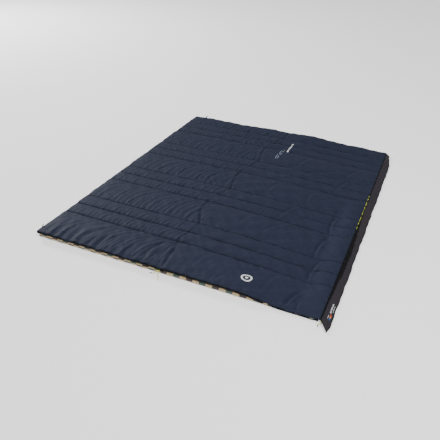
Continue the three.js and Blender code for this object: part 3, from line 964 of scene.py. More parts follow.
@dataclass(frozen=True)
class Studio:
    """Camera, lights and floor."""

    place: tuple[float, float, float] = (1.1495, -3.0998, 1.8163)
    heading: float = -22.975
    down: float = 31.975
    tilt: float = 1.622
    lens: float = 41.89
    sky: float = 0.38
    lamps: tuple[tuple[str, tuple[float, float, float], float, float], ...] = (
        ("window_light", (-8.0, 3.3, 3.7), 2.0, 690.0),
        ("fill_light", (2.2, -2.2, 4.6), 3.0, 170.0),
    )

    def camera(self) -> None:
        """Stand the camera: heading turns it from +Y, down tips it, tilt rolls it, all in degrees."""
        heading, down, tilt = (math.radians(value) for value in (self.heading, self.down, self.tilt))
        ahead = Vector((
            math.sin(heading) * math.cos(down), math.cos(heading) * math.cos(down), -math.sin(down),
        ))
        level = Vector((math.cos(heading), -math.sin(heading), 0))
        upright = level.cross(ahead)
        right = math.cos(tilt) * level + math.sin(tilt) * upright
        top = -math.sin(tilt) * level + math.cos(tilt) * upright
        data = bpy.data.cameras.new("camera")
        data.lens = self.lens
        data.sensor_width = 36
        camera = bpy.data.objects.new("camera", data)
        turn = Matrix((right, top, -ahead)).transposed().to_4x4()
        camera.matrix_world = Matrix.Translation(self.place) @ turn
        bpy.context.scene.collection.objects.link(camera)
        bpy.context.scene.camera = camera

    def lights(self) -> None:
        """Hang two large soft lights and fill the rest with an even pale sky."""
        world = bpy.data.worlds.new("studio")
        world.use_nodes = True
        tree = world.node_tree
        background = tree.nodes["Background"]
        background.inputs["Color"].default_value = (1, 1, 1, 1)
        seen = add_node(tree, "ShaderNodeLightPath").outputs["Is Camera Ray"]
        strength = maths(tree, "MULTIPLY_ADD", seen, 1.3, self.sky)
        tree.links.new(strength, background.inputs["Strength"])
        bpy.context.scene.world = world
        for name, place, size, power in self.lamps:
            data = bpy.data.lights.new(name, "AREA")
            data.shape = "DISK"
            data.size = size
            data.energy = power
            light = bpy.data.objects.new(name, data)
            light.location = place
            light.rotation_euler = (-Vector(place)).to_track_quat("-Z", "Y").to_euler()
            bpy.context.scene.collection.objects.link(light)

    def floor(self, finishes: Finishes) -> None:
        """Lay a wide pale floor just under the quilt."""
        ends = np.array([-30.0, 30.0])
        x, y = np.meshgrid(ends, ends, indexing="ij")
        points = np.stack([x, y, np.full_like(x, -0.0005)], axis=-1)
        floor = lattice_piece("floor", points)
        dress(floor, finishes.floor)
        floor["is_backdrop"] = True


# ---------------------------------------------------------------- cords


@dataclass(frozen=True)
class PullCord:
    """A short braided cord tied to a zip pull, lying on the ground."""

    name: str
    route: tuple[tuple[float, float, float], ...]
    node: str
    body: str
    end_piece: str | None
    diameter: float = 0.0036

    def build(self, finishes: Finishes, layout: Layout) -> None:
        """Sweep the cord along its route, in millimetres from the quilt's foot-left corner."""
        points = np.array(self.route) * MM + np.array([layout.left, layout.foot, 0])
        path = spline_through(points, 9 * (len(points) - 1) + 1)
        radius = np.full(len(path), self.diameter / 2)
        cord = tube_piece(self.name, path, radius, 12)
        fit(cord, finishes.cord, "pull_cord", self.node, body=self.body)


CORDS = (
    PullCord(
        "foot_pull_cord_long",
        (
            (870.7, -6.3, 33), (868, -9.8, 31.8), (866.3, -13.6, 27), (866, -16.5, 20), (868, -20.5, 11.5),
            (872, -26.5, 5), (877, -34, 2.2), (883, -44, 2), (888, -55, 2),
        ),
        "foot_cord_long", "foot_pull", None,
    ),
    PullCord(
        "foot_pull_cord_short",
        (
            (871, -6.2, 26.5), (864, -7.4, 27.4), (856, -8.6, 27), (848.5, -9.5, 22.5), (843.5, -10.5, 14.5),
            (839, -11.5, 7), (833.5, -12.6, 3.2), (827.5, -13.9, 2.8),
        ),
        "foot_cord_short", "foot_pull", "foot_cord_tip",
    ),
    PullCord(
        "side_pull_cord",
        (
            (1802, 10, 10), (1804.5, 4.5, 8.6), (1808, -1, 5.6), (1809.2, -6.5, 3.2), (1806, -11.5, 2.3),
            (1800.5, -13.6, 2.2), (1797.4, -17.8, 2.4), (1797, -23, 2.7),
        ),
        "side_cord", "side_pull", "side_cord_tip",
    ),
)


# ---------------------------------------------------------------- shell


@dataclass(frozen=True)
class Fold:
    """One straight fold in the cloth, from start to end in metres from the foot-left corner."""

    start: tuple[float, float]
    end: tuple[float, float]
    width: float
    depth: float

    def relief(self, x: Array, y: Array) -> Array:
        """Sink a valley along the fold and raise a low ridge beside it, both fading at the ends.

        With s the share of the way along and d the signed distance to the line, the height is
        -depth (exp(-(d/w)^2) - 0.6 exp(-((d - 1.8 w)/w)^2)) sin(pi s)^0.6.
        """
        start, end = np.array(self.start), np.array(self.end)
        line = end - start
        length = float(np.linalg.norm(line))
        s = ((x - start[0]) * line[0] + (y - start[1]) * line[1]) / length**2
        bow = 0.08 * length * np.sin(math.pi * np.clip(s, 0, 1))
        d = ((x - start[0]) * line[1] - (y - start[1]) * line[0]) / length + bow
        fade = np.sin(math.pi * np.clip(s, 0, 1)) ** 0.6
        valley = bell(d, self.width)
        ridge = bell(d - 1.8 * self.width, self.width)
        return -self.depth * (valley - 0.6 * ridge) * fade


FOLDS = (
    Fold((1.60, 0.02), (1.665, 0.19), 0.009, 0.0082),
    Fold((1.672, 0.01), (1.668, 0.09), 0.007, 0.0055),
    Fold((1.655, 0.26), (1.69, 0.52), 0.009, 0.0062),
    Fold((1.63, 0.50), (1.675, 0.80), 0.009, 0.0056),
    Fold((1.665, 0.78), (1.65, 1.04), 0.010, 0.0056),
    Fold((1.30, 0.80), (1.37, 1.02), 0.012, 0.0028),
    Fold((1.26, 0.60), (1.40, 0.79), 0.012, 0.0030),
    Fold((1.10, 0.62), (1.15, 0.78), 0.014, 0.0022),
    Fold((1.12, 1.08), (1.18, 1.30), 0.012, 0.0022),
    Fold((1.42, 1.06), (1.44, 1.31), 0.011, 0.0020),
    Fold((1.20, 1.58), (1.27, 1.82), 0.013, 0.0022),
    Fold((1.55, 1.35), (1.66, 1.62), 0.012, 0.0028),
    Fold((1.58, 1.60), (1.70, 1.84), 0.012, 0.0026),
    Fold((1.02, 0.03), (1.08, 0.25), 0.015, 0.0020),
    Fold((1.45, 0.04), (1.50, 0.26), 0.013, 0.0024),
    Fold((1.20, 0.01), (1.24, 0.12), 0.010, 0.0022),
    Fold((0.74, 0.02), (0.80, 0.26), 0.011, 0.0035),
    Fold((0.83, 0.05), (0.86, 0.24), 0.009, 0.0030),
)

# Where the shallow crease down the middle runs, as (distance from the foot edge, distance from the
# left edge).
MIDDLE_CREASE = np.array([
    (0.0, 0.885), (0.2, 0.865), (0.275, 0.84), (0.515, 0.875), (0.66, 0.81), (0.80, 0.80), (1.04, 0.87),
    (1.20, 0.84), (1.323, 0.835), (1.563, 0.90), (1.70, 0.87), (1.847, 0.86), (2.087, 0.93), (2.25, 0.95),
])


@dataclass
class Shell:
    """The quilted navy top cloth, one piece across the fold, rolled under at its rim."""

    layout: Layout
    columns: int = 290
    rows_per_metre: float = 118.0
    roll: float = 0.0035
    thinnest: float = 0.0115
    gain_left: float = 0.58
    gain_rise: float = 1.10
    groove_depth: float = 0.0032
    groove_width: float = 0.0040
    crease_depth: float = 0.0047
    crease_width: float = 0.008
    ridge_height: float = 0.0028
    ridge_width: float = 0.011
    ridge_offset: float = 0.018
    crumple_count: int = 30
    crumple_slope: float = 0.0042
    heights: Array = field(init=False)
    xs: Array = field(init=False)
    ys: Array = field(init=False)

    def relief(self, across: Array, along: Array) -> Array:
        """Add up the cloth's own folds over the channels.

        In a channel, with t from 0 at its lower seam to 1 at its upper seam, drag folds follow the
        curves x - reach (1 - sqrt(1 - (0.92 t)^2)) = constant: they leave the lower seam straight
        and lean over towards the upper one. Crumples are sines in seeded directions, and puckers
        gather at the seams. These three are weak at the left edge (0.58) and strong at the right
        (1.68). Each seam lies in a narrow groove, a shallow crease wanders down the middle, and the
        single folds are added last. All of it dies out at the rim.
        """
        index, t, span = self.layout.channel_at(along)
        nearest = self.layout.to_seam(along)
        wide = span > 1.3 * self.layout.narrow_channel
        relief = self.drag_folds(across, t, index, wide)
        relief += self.crumples(across, along) + self.seam_puckers(across, along, nearest)
        relief *= self.gain_left + self.gain_rise * across / self.layout.width
        relief -= self.groove_depth * bell(nearest, self.groove_width)
        middle = np.interp(along, MIDDLE_CREASE[:, 0], MIDDLE_CREASE[:, 1])
        beside = across - middle
        strength = 0.55 + 0.45 * np.sin(along * 19.0) * np.sin(along * 7.3 + 1.0)
        relief -= self.crease_depth * strength * bell(beside, self.crease_width)
        relief += self.ridge_height * strength * bell(beside + self.ridge_offset, self.ridge_width)
        for fold in FOLDS:
            relief += fold.relief(across, along)
        from_side = np.minimum(across, self.layout.width - across)
        inward = np.minimum(from_side, np.minimum(along, self.layout.length - along))
        return relief * np.clip((inward + 0.004) / 0.030, 0, 1)

    def drag_folds(self, across: Array, t: Array, index: Array, wide: Array) -> Array:
        """Raise the leaning drag folds of every channel, with seeded spacing, reach and strength."""
        rng = np.random.default_rng(SEED)
        channels = int(index.max()) + 1

        def drawn(low: float, high: float) -> Array:
            """Draw one value for each channel and read it at every place."""
            return rng.uniform(low, high, channels)[index]

        reach = np.where(wide, drawn(0.24, 0.40), drawn(0.07, 0.12))
        pitch = np.where(wide, drawn(0.050, 0.068), drawn(0.034, 0.044))
        offset = drawn(0, 1)
        lean = across - reach * (1 - np.sqrt(1 - (0.92 * t) ** 2))
        wander = 0.34 * np.sin(lean * 11.0 + 6 * offset) + 0.22 * np.sin(lean * 29.0 + 9 * offset + 2 * t)
        phase = lean / pitch + offset + wander
        ridge = (0.5 + 0.5 * np.cos(2 * math.pi * phase)) ** 2.6 - 0.28
        which = np.floor(phase + 0.5)
        uneven = 0.55 + 0.45 * np.sin(which * 2.4 + 5 * offset + 2.6 * t)
        second = np.cos(2 * math.pi * (2.3 * phase + 0.6 * np.sin(9 * across)))
        left = 0.10 + 0.90 / (1 + np.exp((across - 0.84) / 0.03))
        rim = np.clip(np.minimum(across, self.layout.width - across) / 0.05, 0, 1)
        ends = np.clip(np.minimum(t, 1 - t) / 0.10, 0.22, 1)
        height = np.where(wide, 0.0046, 0.0034)
        return height * left * rim * ends * (uneven * ridge + 0.22 * second)

    def seam_puckers(self, across: Array, along: Array, nearest: Array) -> Array:
        """Gather the cloth at each seam: short ridges square to it that die out 25 mm away.

        The ridge is |cos| of a wandering phase to the fourth power, so peaks are narrow, and the
        whole is (d / 6 mm) exp(1 - d / 6 mm) of the distance d to the seam.
        """
        which = np.argmin(np.abs(along[..., None] - self.layout.seams()), axis=-1)
        offsets = np.random.default_rng(SEED + 2).uniform(0, 6.3, len(self.layout.seams()))[which]
        wander = 1.9 * np.sin(across * 8.0 + offsets) + 1.1 * np.sin(across * 21.0 + 2.3 * offsets)
        phase = math.pi * (across + 0.35 * nearest) / 0.036 + wander
        ridge = np.abs(np.cos(phase)) ** 4 - 0.375
        uneven = 0.55 + 0.45 * np.sin(across * 13.0 + 3 * offsets)
        reach = (nearest / 0.006) * np.exp(1 - nearest / 0.006)
        left = 0.45 + 0.55 / (1 + np.exp((across - 0.9) / 0.05))
        return 0.0020 * ridge * reach * uneven * left

    def crumples(self, across: Array, along: Array) -> Array:
        """Add small crumples: thirty sines of 26 to 120 mm in seeded directions."""
        rng = np.random.default_rng(SEED + 1)
        total = np.zeros_like(across)
        for _ in range(self.crumple_count):
            length, turn, phase = rng.uniform(0.026, 0.12), rng.uniform(0.3, 2.2), rng.uniform(0, 6.3)
            place = across * math.cos(turn) + along * math.sin(turn)
            total += length * np.sin(2 * math.pi * place / length + phase + 2.0 * np.sin(3 * across + phase))
        return self.crumple_slope * total

    def build(self, finishes: Finishes) -> None:
        """Work out the cloth as one lattice with rolled edges and give it its finish."""
        layout = self.layout
        self.xs = np.linspace(self.roll, layout.width - self.roll, self.columns)
        self.ys = layout.rows(self.roll, self.rows_per_metre)
        turn = np.linspace(0, math.pi, 6)
        margin = np.concatenate([turn * self.roll, [math.pi * self.roll + 0.003]])
        panel = TurnedPanel(self.xs, self.ys, margin).lattice()
        x, y = panel["x"], panel["y"]
        top = layout.seam_level(x, y) + layout.channel_puff(x, y) + self.relief(x, y)
        top = np.maximum(top, self.thinnest + 0.3 * (top - self.thinnest))
        angle = np.minimum(panel["past"] / self.roll, math.pi)
        beyond = np.maximum(panel["past"] - math.pi * self.roll, 0)
        out = self.roll * np.sin(angle) - beyond
        points = np.stack([
            layout.left + x + panel["dir_x"] * out + edge_wave_x(x, y),
            layout.foot + y + panel["dir_y"] * out + edge_wave_y(layout, x, y),
            top - self.roll * (1 - np.cos(angle)),
        ], axis=-1)
        inner = slice(len(margin) - 1, -(len(margin) - 1))
        self.heights = top[inner, inner]
        shell = lattice_piece("quilted_shell", points, np.stack([panel["u"], panel["v"]], axis=-1))
        # Painted shade: the seam grooves and the middle crease are marked for the finish to darken.
        nearest = layout.to_seam(y)
        middle = np.interp(y, MIDDLE_CREASE[:, 0], MIDDLE_CREASE[:, 1])
        painted_tuck_shade = bell(nearest, 0.0042) + 0.4 * bell(x - middle, self.crease_width)
        mark_painted_tuck_shade(shell, painted_tuck_shade)
        fit(shell, finishes.shell, "shell_cloth", "shell_left", "shell_right")
        blend_over_fold(shell)

    def height_at(self, x: Array, y: Array) -> Array:
        """Read the cloth's height between lattice points, by its two nearest rows and columns."""
        column = np.clip(np.searchsorted(self.xs, x) - 1, 0, len(self.xs) - 2)
        row = np.clip(np.searchsorted(self.ys, y) - 1, 0, len(self.ys) - 2)
        s = (x - self.xs[column]) / (self.xs[column + 1] - self.xs[column])
        t = (y - self.ys[row]) / (self.ys[row + 1] - self.ys[row])
        low = self.heights[column, row] * (1 - s) + self.heights[column + 1, row] * s
        high = self.heights[column, row + 1] * (1 - s) + self.heights[column + 1, row + 1] * s
        return low * (1 - t) + high * t


# How far, in metres, to each side of the fold line the lattices get closely spaced columns. It is
# less on the left, where the foot slider is parked.
BEND_LEFT = 0.008
BEND_RIGHT = 0.026


def edge_wave_x(x: Array, y: Array) -> Array:
    """Sideways waver of the left edge, dying out inwards; the right edge stays on the baffle seam."""
    near_left = bell(x, 0.05) * np.clip((y - 0.07) / 0.1, 0, 1)
    return 0.0020 * (1 + waves(3, y, (0.31, 0.17, 0.085))) * near_left


def edge_wave_y(layout: Layout, x: Array, y: Array) -> Array:
    """Waver of the foot edge and the head edge, dying out inwards."""
    near_foot = bell(y, 0.06) * np.clip((x - 0.03) / 0.06, 0, 1)
    near_head = bell(layout.length - y, 0.08)
    foot = 0.0022 * waves(5, x, (0.23, 0.11, 0.062))
    head = 0.006 * waves(6, x, (0.42, 0.2, 0.09))
    return foot * near_foot + head * near_head


def blend_over_fold(piece: Piece) -> None:
    """Bake a piece's transform into its mesh; nothing is bent."""
    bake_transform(piece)


# ---------------------------------------------------------------- lining and wadding


@dataclass(frozen=True)
class Lining:
    """The checked flannel: flat on the ground, quilted, and turned up into side walls."""

    layout: Layout
    columns: int = 250
    rows_per_metre: float = 112.0
    inset: float = 0.0098
    wall_rows: int = 13
    belly: float = 0.0062
    belly_top: float = 0.024
    tuck: float = 0.0075
    check_start: float = 0.068
    check_lift: float = 0.027

    def build(self, finishes: Finishes) -> None:
        """Work out the lining as a lattice.

        A wall's height h runs from the ground to just under the rim. Below belly_top it leans out
        by about belly sin(pi h / belly_top)^0.8, which leaves the zip's own height clear, and it
        has soft upright puckers. The bottom rises a millimetre or two at the seams.
        """
        layout = self.layout
        xs = layout.bend_columns(np.linspace(self.inset, layout.width - self.inset, self.columns))
        ys = layout.rows(self.inset, self.rows_per_metre)
        panel = TurnedPanel(xs, ys, np.linspace(0, 1, self.wall_rows)).lattice()
        x, y, t = panel["x"], panel["y"], panel["past"]
        edge_x = np.clip(x + panel["dir_x"] * self.inset, 0, layout.width)
        edge_y = np.clip(y + panel["dir_y"] * self.inset, 0, layout.length)
        top = layout.seam_level(edge_x, edge_y) - self.tuck
        height = t * top
        low = np.clip(height / self.belly_top, 0, 1)
        right_side = np.clip((x - 1.55) / 0.2, 0, 1) * (panel["dir_x"] > 0)
        around = x + y
        lean = self.belly * (1 + 0.25 * waves(12, around, (0.19, 0.083))) * np.sin(math.pi * low) ** 0.8
        pucker = 0.0009 * waves(8, around, (0.071, 0.043, 0.11)) * np.sin(math.pi * low)
        out = (lean + pucker) * (1 - right_side)
        nearest = layout.to_seam(y)
        flat = t == 0
        bottom = 0.0004 + 0.0017 * bell(nearest, 0.013) * flat
        bottom += 0.0009 * bell(nearest, 0.0035) * flat
        bottom += 0.00035 * (1 + waves(9, x * 1.7 + y, (0.052, 0.09))) * np.exp(-nearest / 0.02) * flat
        points = np.stack([
            layout.left + x + panel["dir_x"] * out,
            layout.foot + y + panel["dir_y"] * out,
            bottom + height,
        ], axis=-1)
        step = np.clip((x - 0.84) / 0.08, 0, 1)
        lift = self.check_lift * (1 - ease(step))
        u = x + panel["dir_x"] * height - self.check_start
        v = y + panel["dir_y"] * height - self.inset - lift
        lining = lattice_piece("flannel_lining", points, np.stack([u, v], axis=-1), flip=True)
        # Painted shade: the flannel floor is marked to darken close to each seam.
        painted_tuck_shade = bell(nearest, 0.0040) * flat
        mark_painted_tuck_shade(lining, painted_tuck_shade)
        fit(lining, finishes.flannel, "flannel", "lining_left", "lining_right")
        blend_over_fold(lining)


# The wadding keeps under the lowest of the cloth within this reach, in metres each way.
WADDING_REACH = (-0.020, -0.010, 0.0, 0.010, 0.020)


@dataclass(frozen=True)
class Wadding:
    """One closed layer of fibre filling, between two heights given as shares of the loft."""

    name: str
    layout: Layout
    shell: Shell
    low: float
    high: float
    nodes: tuple[str, str]
    columns: int = 92
    rows: int = 116
    inset: float = 0.016
    base: float = 0.0042
    cloth_gap: float = 0.0036

    def build(self, finishes: Finishes) -> None:
        """Stack a lower and an upper lattice and close the rim between them with a strip."""
        layout = self.layout
        xs = layout.bend_columns(np.linspace(self.inset, layout.width - self.inset, self.columns))
        columns = len(xs)
        ys = np.linspace(self.inset, layout.length - self.inset, self.rows)
        x, y = np.meshgrid(xs, ys, indexing="ij")
        near = [self.shell.height_at(x + dx, y + dy) for dx in WADDING_REACH for dy in WADDING_REACH]
        loft = np.maximum(np.min(near, axis=0) - self.cloth_gap - self.base, 0.0015)
        tops = []
        for share in (self.low, self.high):
            z = self.base + share * loft
            tops.append(np.stack([layout.left + x, layout.foot + y, z], axis=-1))
        count = columns * self.rows
        faces = grid_faces(columns, self.rows)
        ring = np.concatenate([
            np.arange(self.rows), np.arange(1, columns) * self.rows + self.rows - 1,
            (columns - 1) * self.rows + np.arange(self.rows - 2, -1, -1),
            np.arange(columns - 2, 0, -1) * self.rows,
        ])
        after = np.roll(ring, -1)
        rim = np.stack([ring, ring + count, after + count, after], axis=1)
        every = np.concatenate([faces, faces[:, ::-1] + count, rim[:, ::-1]])
        points = np.concatenate([part.reshape(-1, 3) for part in tops])
        wadding = mesh_piece(self.name, points, every)
        face_outwards(wadding.data)
        fit(wadding, finishes.wadding, "wadding", *self.nodes)
        blend_over_fold(wadding)


# ---------------------------------------------------------------- stitching, prints


@dataclass(frozen=True)
class Stitching:
    """Lockstitch along the quilting seams and round the rim, thread lying in its groove."""

    layout: Layout
    shell: Shell
    pitch: float = 0.0048
    length: float = 0.0034
    thread: float = 0.0009
    margin: float = 0.007

    def build(self, finishes: Finishes) -> None:
        """Lay stitches along each line, each turned to the cloth's slope where it lies."""
        layout = self.layout
        starts, ends = [], []
        inside = self.margin
        across = np.arange(inside, layout.width - inside, self.pitch)
        for seam in layout.seams():
            starts.append(np.stack([across, np.full_like(across, seam)], axis=-1))
            ends.append(starts[-1] + (self.length, 0))
        for edge in (inside, layout.length - inside):
            starts.append(np.stack([across, np.full_like(across, edge)], axis=-1))
            ends.append(starts[-1] + (self.length, 0))
        along = np.arange(inside, layout.length - inside, self.pitch)
        for edge in (inside, layout.width - inside):
            starts.append(np.stack([np.full_like(along, edge), along], axis=-1))
            ends.append(starts[-1] + (0, self.length))
        start, end = (self.on_cloth(np.concatenate(rows)) for rows in (starts, ends))
        ahead = end - start
        ahead /= np.linalg.norm(ahead, axis=1, keepdims=True)
        side = np.cross([0.0, 0.0, 1.0], ahead)
        side /= np.linalg.norm(side, axis=1, keepdims=True)
        axes = np.stack([ahead, side, np.cross(ahead, side)], axis=1)
        shape, faces = lozenge(self.length, self.thread, self.thread)
        stitches = scattered("quilting_stitches", shape, faces, (start + end) / 2, axes)
        fit(stitches, finishes.thread, "shell_cloth")
        blend_over_fold(stitches)

    def on_cloth(self, places: Array) -> Array:
        """Lift (x, y) places from the foot-left corner onto the shell, a little proud of it."""
        x, y = places[:, 0], places[:, 1]
        z = self.shell.height_at(x, y) + 0.3 * self.thread
        wave_x = edge_wave_x(x, y)
        wave_y = edge_wave_y(self.layout, x, y)
        return np.stack([self.layout.left + x + wave_x, self.layout.foot + y + wave_y, z], axis=-1)


@dataclass(frozen=True)
class TransferPrint:
    """Thin film prints that follow the cloth: a ring with a dot, and rows of plain bars."""

    layout: Layout
    shell: Shell
    film: float = 0.0007

    def draped(self, name: str, x: Array, y: Array, node: str, finish: Material) -> None:
        """Drape a lattice of (x, y) places over the cloth, with a short skirt down to it."""
        z = self.shell.height_at(x, y) + self.film
        skirt = 2.2 * self.film
        open_ended = x[0, 0] != x[0, -1] or y[0, 0] != y[0, -1]
        z[[0, -1]] -= skirt
        z[:, [0, -1]] -= skirt * open_ended
        points = np.stack([self.layout.left + x, self.layout.foot + y, z], axis=-1)
        patch = lattice_piece(name, points, flip=True)
        upright = np.empty(3 * len(patch.data.polygons), np.float32)
        patch.data.polygons.foreach_get("normal", upright)
        if upright[2::3].sum() < 0:
            patch.data.flip_normals()
        fit(patch, finish, "print_film", node, body="right_half")

    def band(self, name: str, node: str, inner: float, outer: float, finish: Material) -> None:
        """Print a ring, or a disc where inner is nought, round the emblem's centre."""
        low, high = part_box(node)
        centre_x = (low[0] + high[0]) / 2 - self.layout.left
        centre_y = (low[1] + high[1]) / 2 - self.layout.foot
        radii = np.array([inner - 0.0002, *np.linspace(inner, outer, 5), outer + 0.0002])
        radii = np.maximum(radii, 0.0001)
        angle = np.linspace(0, 2 * math.pi, 65)
        ring, turn = np.meshgrid(radii, -angle, indexing="ij")
        self.draped(name, centre_x + ring * np.cos(turn), centre_y + ring * np.sin(turn), node, finish)

    def bars(self, name: str, node: str, shares: tuple[tuple[float, float, float, float], ...],
             finish: Material) -> None:
        """Print plain bars inside a node's outline; each share is (x0, x1, y0, y1) of it."""
        low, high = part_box(node)
        for number, (x0, x1, y0, y1) in enumerate(shares):
            xs = low[0] - self.layout.left + np.linspace(x0, x1, 6) * (high[0] - low[0])
            ys = low[1] - self.layout.foot + np.linspace(y0, y1, 12) * (high[1] - low[1])
            x, y = np.meshgrid(xs, ys, indexing="ij")
            self.draped(f"{name}_{number + 1}", x, y, node, finish)

    def build(self, finishes: Finishes) -> None:
        """Print the ring, the dot and the two lines of bars."""
        self.band("emblem_ring_print", "emblem_ring", 0.0225, 0.0325, finishes.print)
        self.band("emblem_dot_print", "emblem_dot", 0.0, 0.009, finishes.print)
        bold = (
            (0.0, 1.0, 0.0, 0.20), (0.0, 1.0, 0.235, 0.37), (0.0, 1.0, 0.405, 0.63),
            (0.0, 1.0, 0.665, 0.80), (0.0, 1.0, 0.835, 1.0),
        )
        self.bars("bold_print_bar", "print_line_bold", bold, finishes.print)
        fine = (
            (0.0, 0.26, 0.0, 0.42), (0.0, 0.26, 0.50, 0.95), (0.62, 0.88, 0.06, 0.30),
            (0.62, 0.88, 0.36, 0.68), (0.62, 0.88, 0.74, 1.0),
        )
        self.bars("fine_print_bar", "print_line_fine", fine, finishes.faint_print)


# ---------------------------------------------------------------- zip


class Run(Enum):
    """The four stretches of zip, by half and edge."""

    LEFT_SIDE = "left_side"
    LEFT_FOOT = "left_foot"
    RIGHT_FOOT = "right_foot"
    RIGHT_SIDE = "right_side"


@dataclass(frozen=True)
class ZipRun:
    """One stretch of zip tape with its row of teeth, set back under the rim."""

    run: Run
    layout: Layout
    setback: float = 0.0030
    tape_height: float = 0.0105
    tape_thickness: float = 0.0008
    tooth_pitch: float = 0.0026
    coil_radius: float = 0.0014
    fold_gap: float = 0.0030
    below_rim: float = 0.0072
    lowest: float = 0.0034
    narrowest: float = 0.004
    stations: int = 260

    def edge(self, count: int) -> tuple[Array, Array, Array]:
        """Give stations along the edge: places, directions out of the quilt, and rim heights."""
        layout = self.layout
        fold = layout.fold - layout.left
        side = self.run in (Run.LEFT_SIDE, Run.RIGHT_SIDE)
        if side:
            y = np.linspace(layout.length - 0.032, 0.010, count)
            x = np.full_like(y, 0.0 if self.run is Run.LEFT_SIDE else layout.width)
            out = np.tile([-1.0 if self.run is Run.LEFT_SIDE else 1.0, 0.0, 0.0], (count, 1))
        else:
            ends = (0.012, fold - self.fold_gap)
            if self.run is Run.RIGHT_FOOT:
                ends = (fold + self.fold_gap, layout.width - 0.010)
            x = np.linspace(*ends, count)
            y = np.zeros_like(x)
            out = np.tile([0.0, -1.0, 0.0], (count, 1))
        rim = layout.seam_level(x, y)
        places = np.stack([layout.left + x, layout.foot + y, rim], axis=-1)
        return places, out, rim

    def build(self, finishes: Finishes) -> None:
        """Sweep the tape and scatter the teeth along its lower edge."""
        count = self.stations
        places, out, rim = self.edge(count)
        top = rim - self.below_rim
        level = {Run.LEFT_SIDE: 0.031, Run.LEFT_FOOT: 0.031, Run.RIGHT_SIDE: 0.011}.get(self.run)
        low = np.full(count, level) if level is not None else top - self.tape_height
        low = np.clip(low, self.lowest, top - self.narrowest)
        forward = np.dot(np.cross(out[0], UP[0]), places[-1] - places[0]) >= 0
        sideways = out if forward else -out
        centres = places - out * (self.setback + self.tape_thickness / 2)
        centres[:, 2] = (top + low) / 2
        half = (top - low) / 2
        thin = np.full(count, self.tape_thickness / 2)
        section = np.stack([
            np.stack([thin, -half], axis=-1), np.stack([thin, half], axis=-1),
            np.stack([-thin, half], axis=-1), np.stack([-thin, -half], axis=-1),
        ], axis=1)
        name = self.run.value
        tape = swept_section(f"zip_tape_{name}", centres, sideways, UP, section)
        half_name = "left" if "left" in name else "right"
        fit(tape, finishes.tape, "zip_tape", f"zip_tape_{half_name}")
        self.carry(tape, half_name)
        self.teeth(finishes, places, out, low, half_name)

    def teeth(self, finishes: Finishes, places: Array, out: Array, low: Array, half: str) -> None:
        """Scatter the teeth just under the tape, one every pitch, each turned along the line."""
        line = places.copy()
        line -= out * (self.setback + 0.4 * self.coil_radius)
        line[:, 2] = low - self.coil_radius
        if self.run is Run.RIGHT_SIDE:
            along = line[:, 1] - self.layout.foot
            rise = np.clip((along - 0.90) / 0.05, 0, 1) * np.clip((1.46 - along) / 0.05, 0, 1)
            rise = ease(rise)
            line[:, 2] += rise * (0.0238 + 0.0042 * waves(31, along, (0.045, 0.071)) - line[:, 2])
            line[:, 0] += rise * (self.layout.right + 0.0008 - line[:, 0])
        run = np.concatenate([[0], np.cumsum(np.linalg.norm(np.diff(line, axis=0), axis=1))])
        at = np.arange(0, run[-1], self.tooth_pitch)
        centres = np.stack([np.interp(at, run, line[:, axis]) for axis in range(3)], axis=-1)
        ahead = np.gradient(centres, axis=0)
        ahead /= np.linalg.norm(ahead, axis=1, keepdims=True)
        outward = np.tile(out[0], (len(at), 1))
        third = np.cross(ahead, outward)
        axes = np.stack([ahead, outward, third], axis=1)
        shape, faces = lozenge(self.tooth_pitch * 0.80, 2 * self.coil_radius, 2 * self.coil_radius)
        teeth = scattered(f"zip_teeth_{self.run.value}", shape, faces, centres, axes)
        lime = self.run is Run.RIGHT_SIDE
        slot = "zip_coil_lime" if lime else "zip_coil_dark"
        fit(teeth, finishes.coil_lime if lime else finishes.coil_dark, slot, f"zip_coil_{half}")
        self.carry(teeth, half)

    def carry(self, piece: Piece, half: str) -> None:
        """Ride on the half; a foot stretch, which starts at the fold, stays fixed where it lies."""
        if self.run in (Run.LEFT_FOOT, Run.RIGHT_FOOT):
            blend_over_fold(piece)
        else:
            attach(piece, f"{half}_half")


# ---------------------------------------------------------------- head binding


@dataclass(frozen=True)
class HeadBinding:
    """Black binding sewn along the head edge, just under the shell's rolled rim."""

    layout: Layout
    height: float = 0.012
    thickness: float = 0.0026
    setback: float = 0.0030
    below_rim: float = 0.0074
    stations: int = 300

    def build(self, finishes: Finishes) -> None:
        """Sweep a rounded strip along the head edge, following its waves."""
        layout = self.layout
        x = np.linspace(layout.width - 0.006, 0.006, self.stations)
        y = np.full_like(x, layout.length)
        rim = layout.seam_level(x, y)
        place_y = layout.foot + y + edge_wave_y(layout, x, y) - self.setback - self.thickness / 2
        centres = np.stack([layout.left + x, place_y, rim - self.below_rim - self.height / 2], axis=-1)
        section = rounded_section(self.thickness, self.height, 0.6, -math.pi / 2)[None]
        binding = swept_section("head_binding", centres, -NORTH, UP, section)
        fit(binding, finishes.binding, "binding", "head_binding_left", "head_binding_right")
        blend_over_fold(binding)


# ---------------------------------------------------------------- baffle


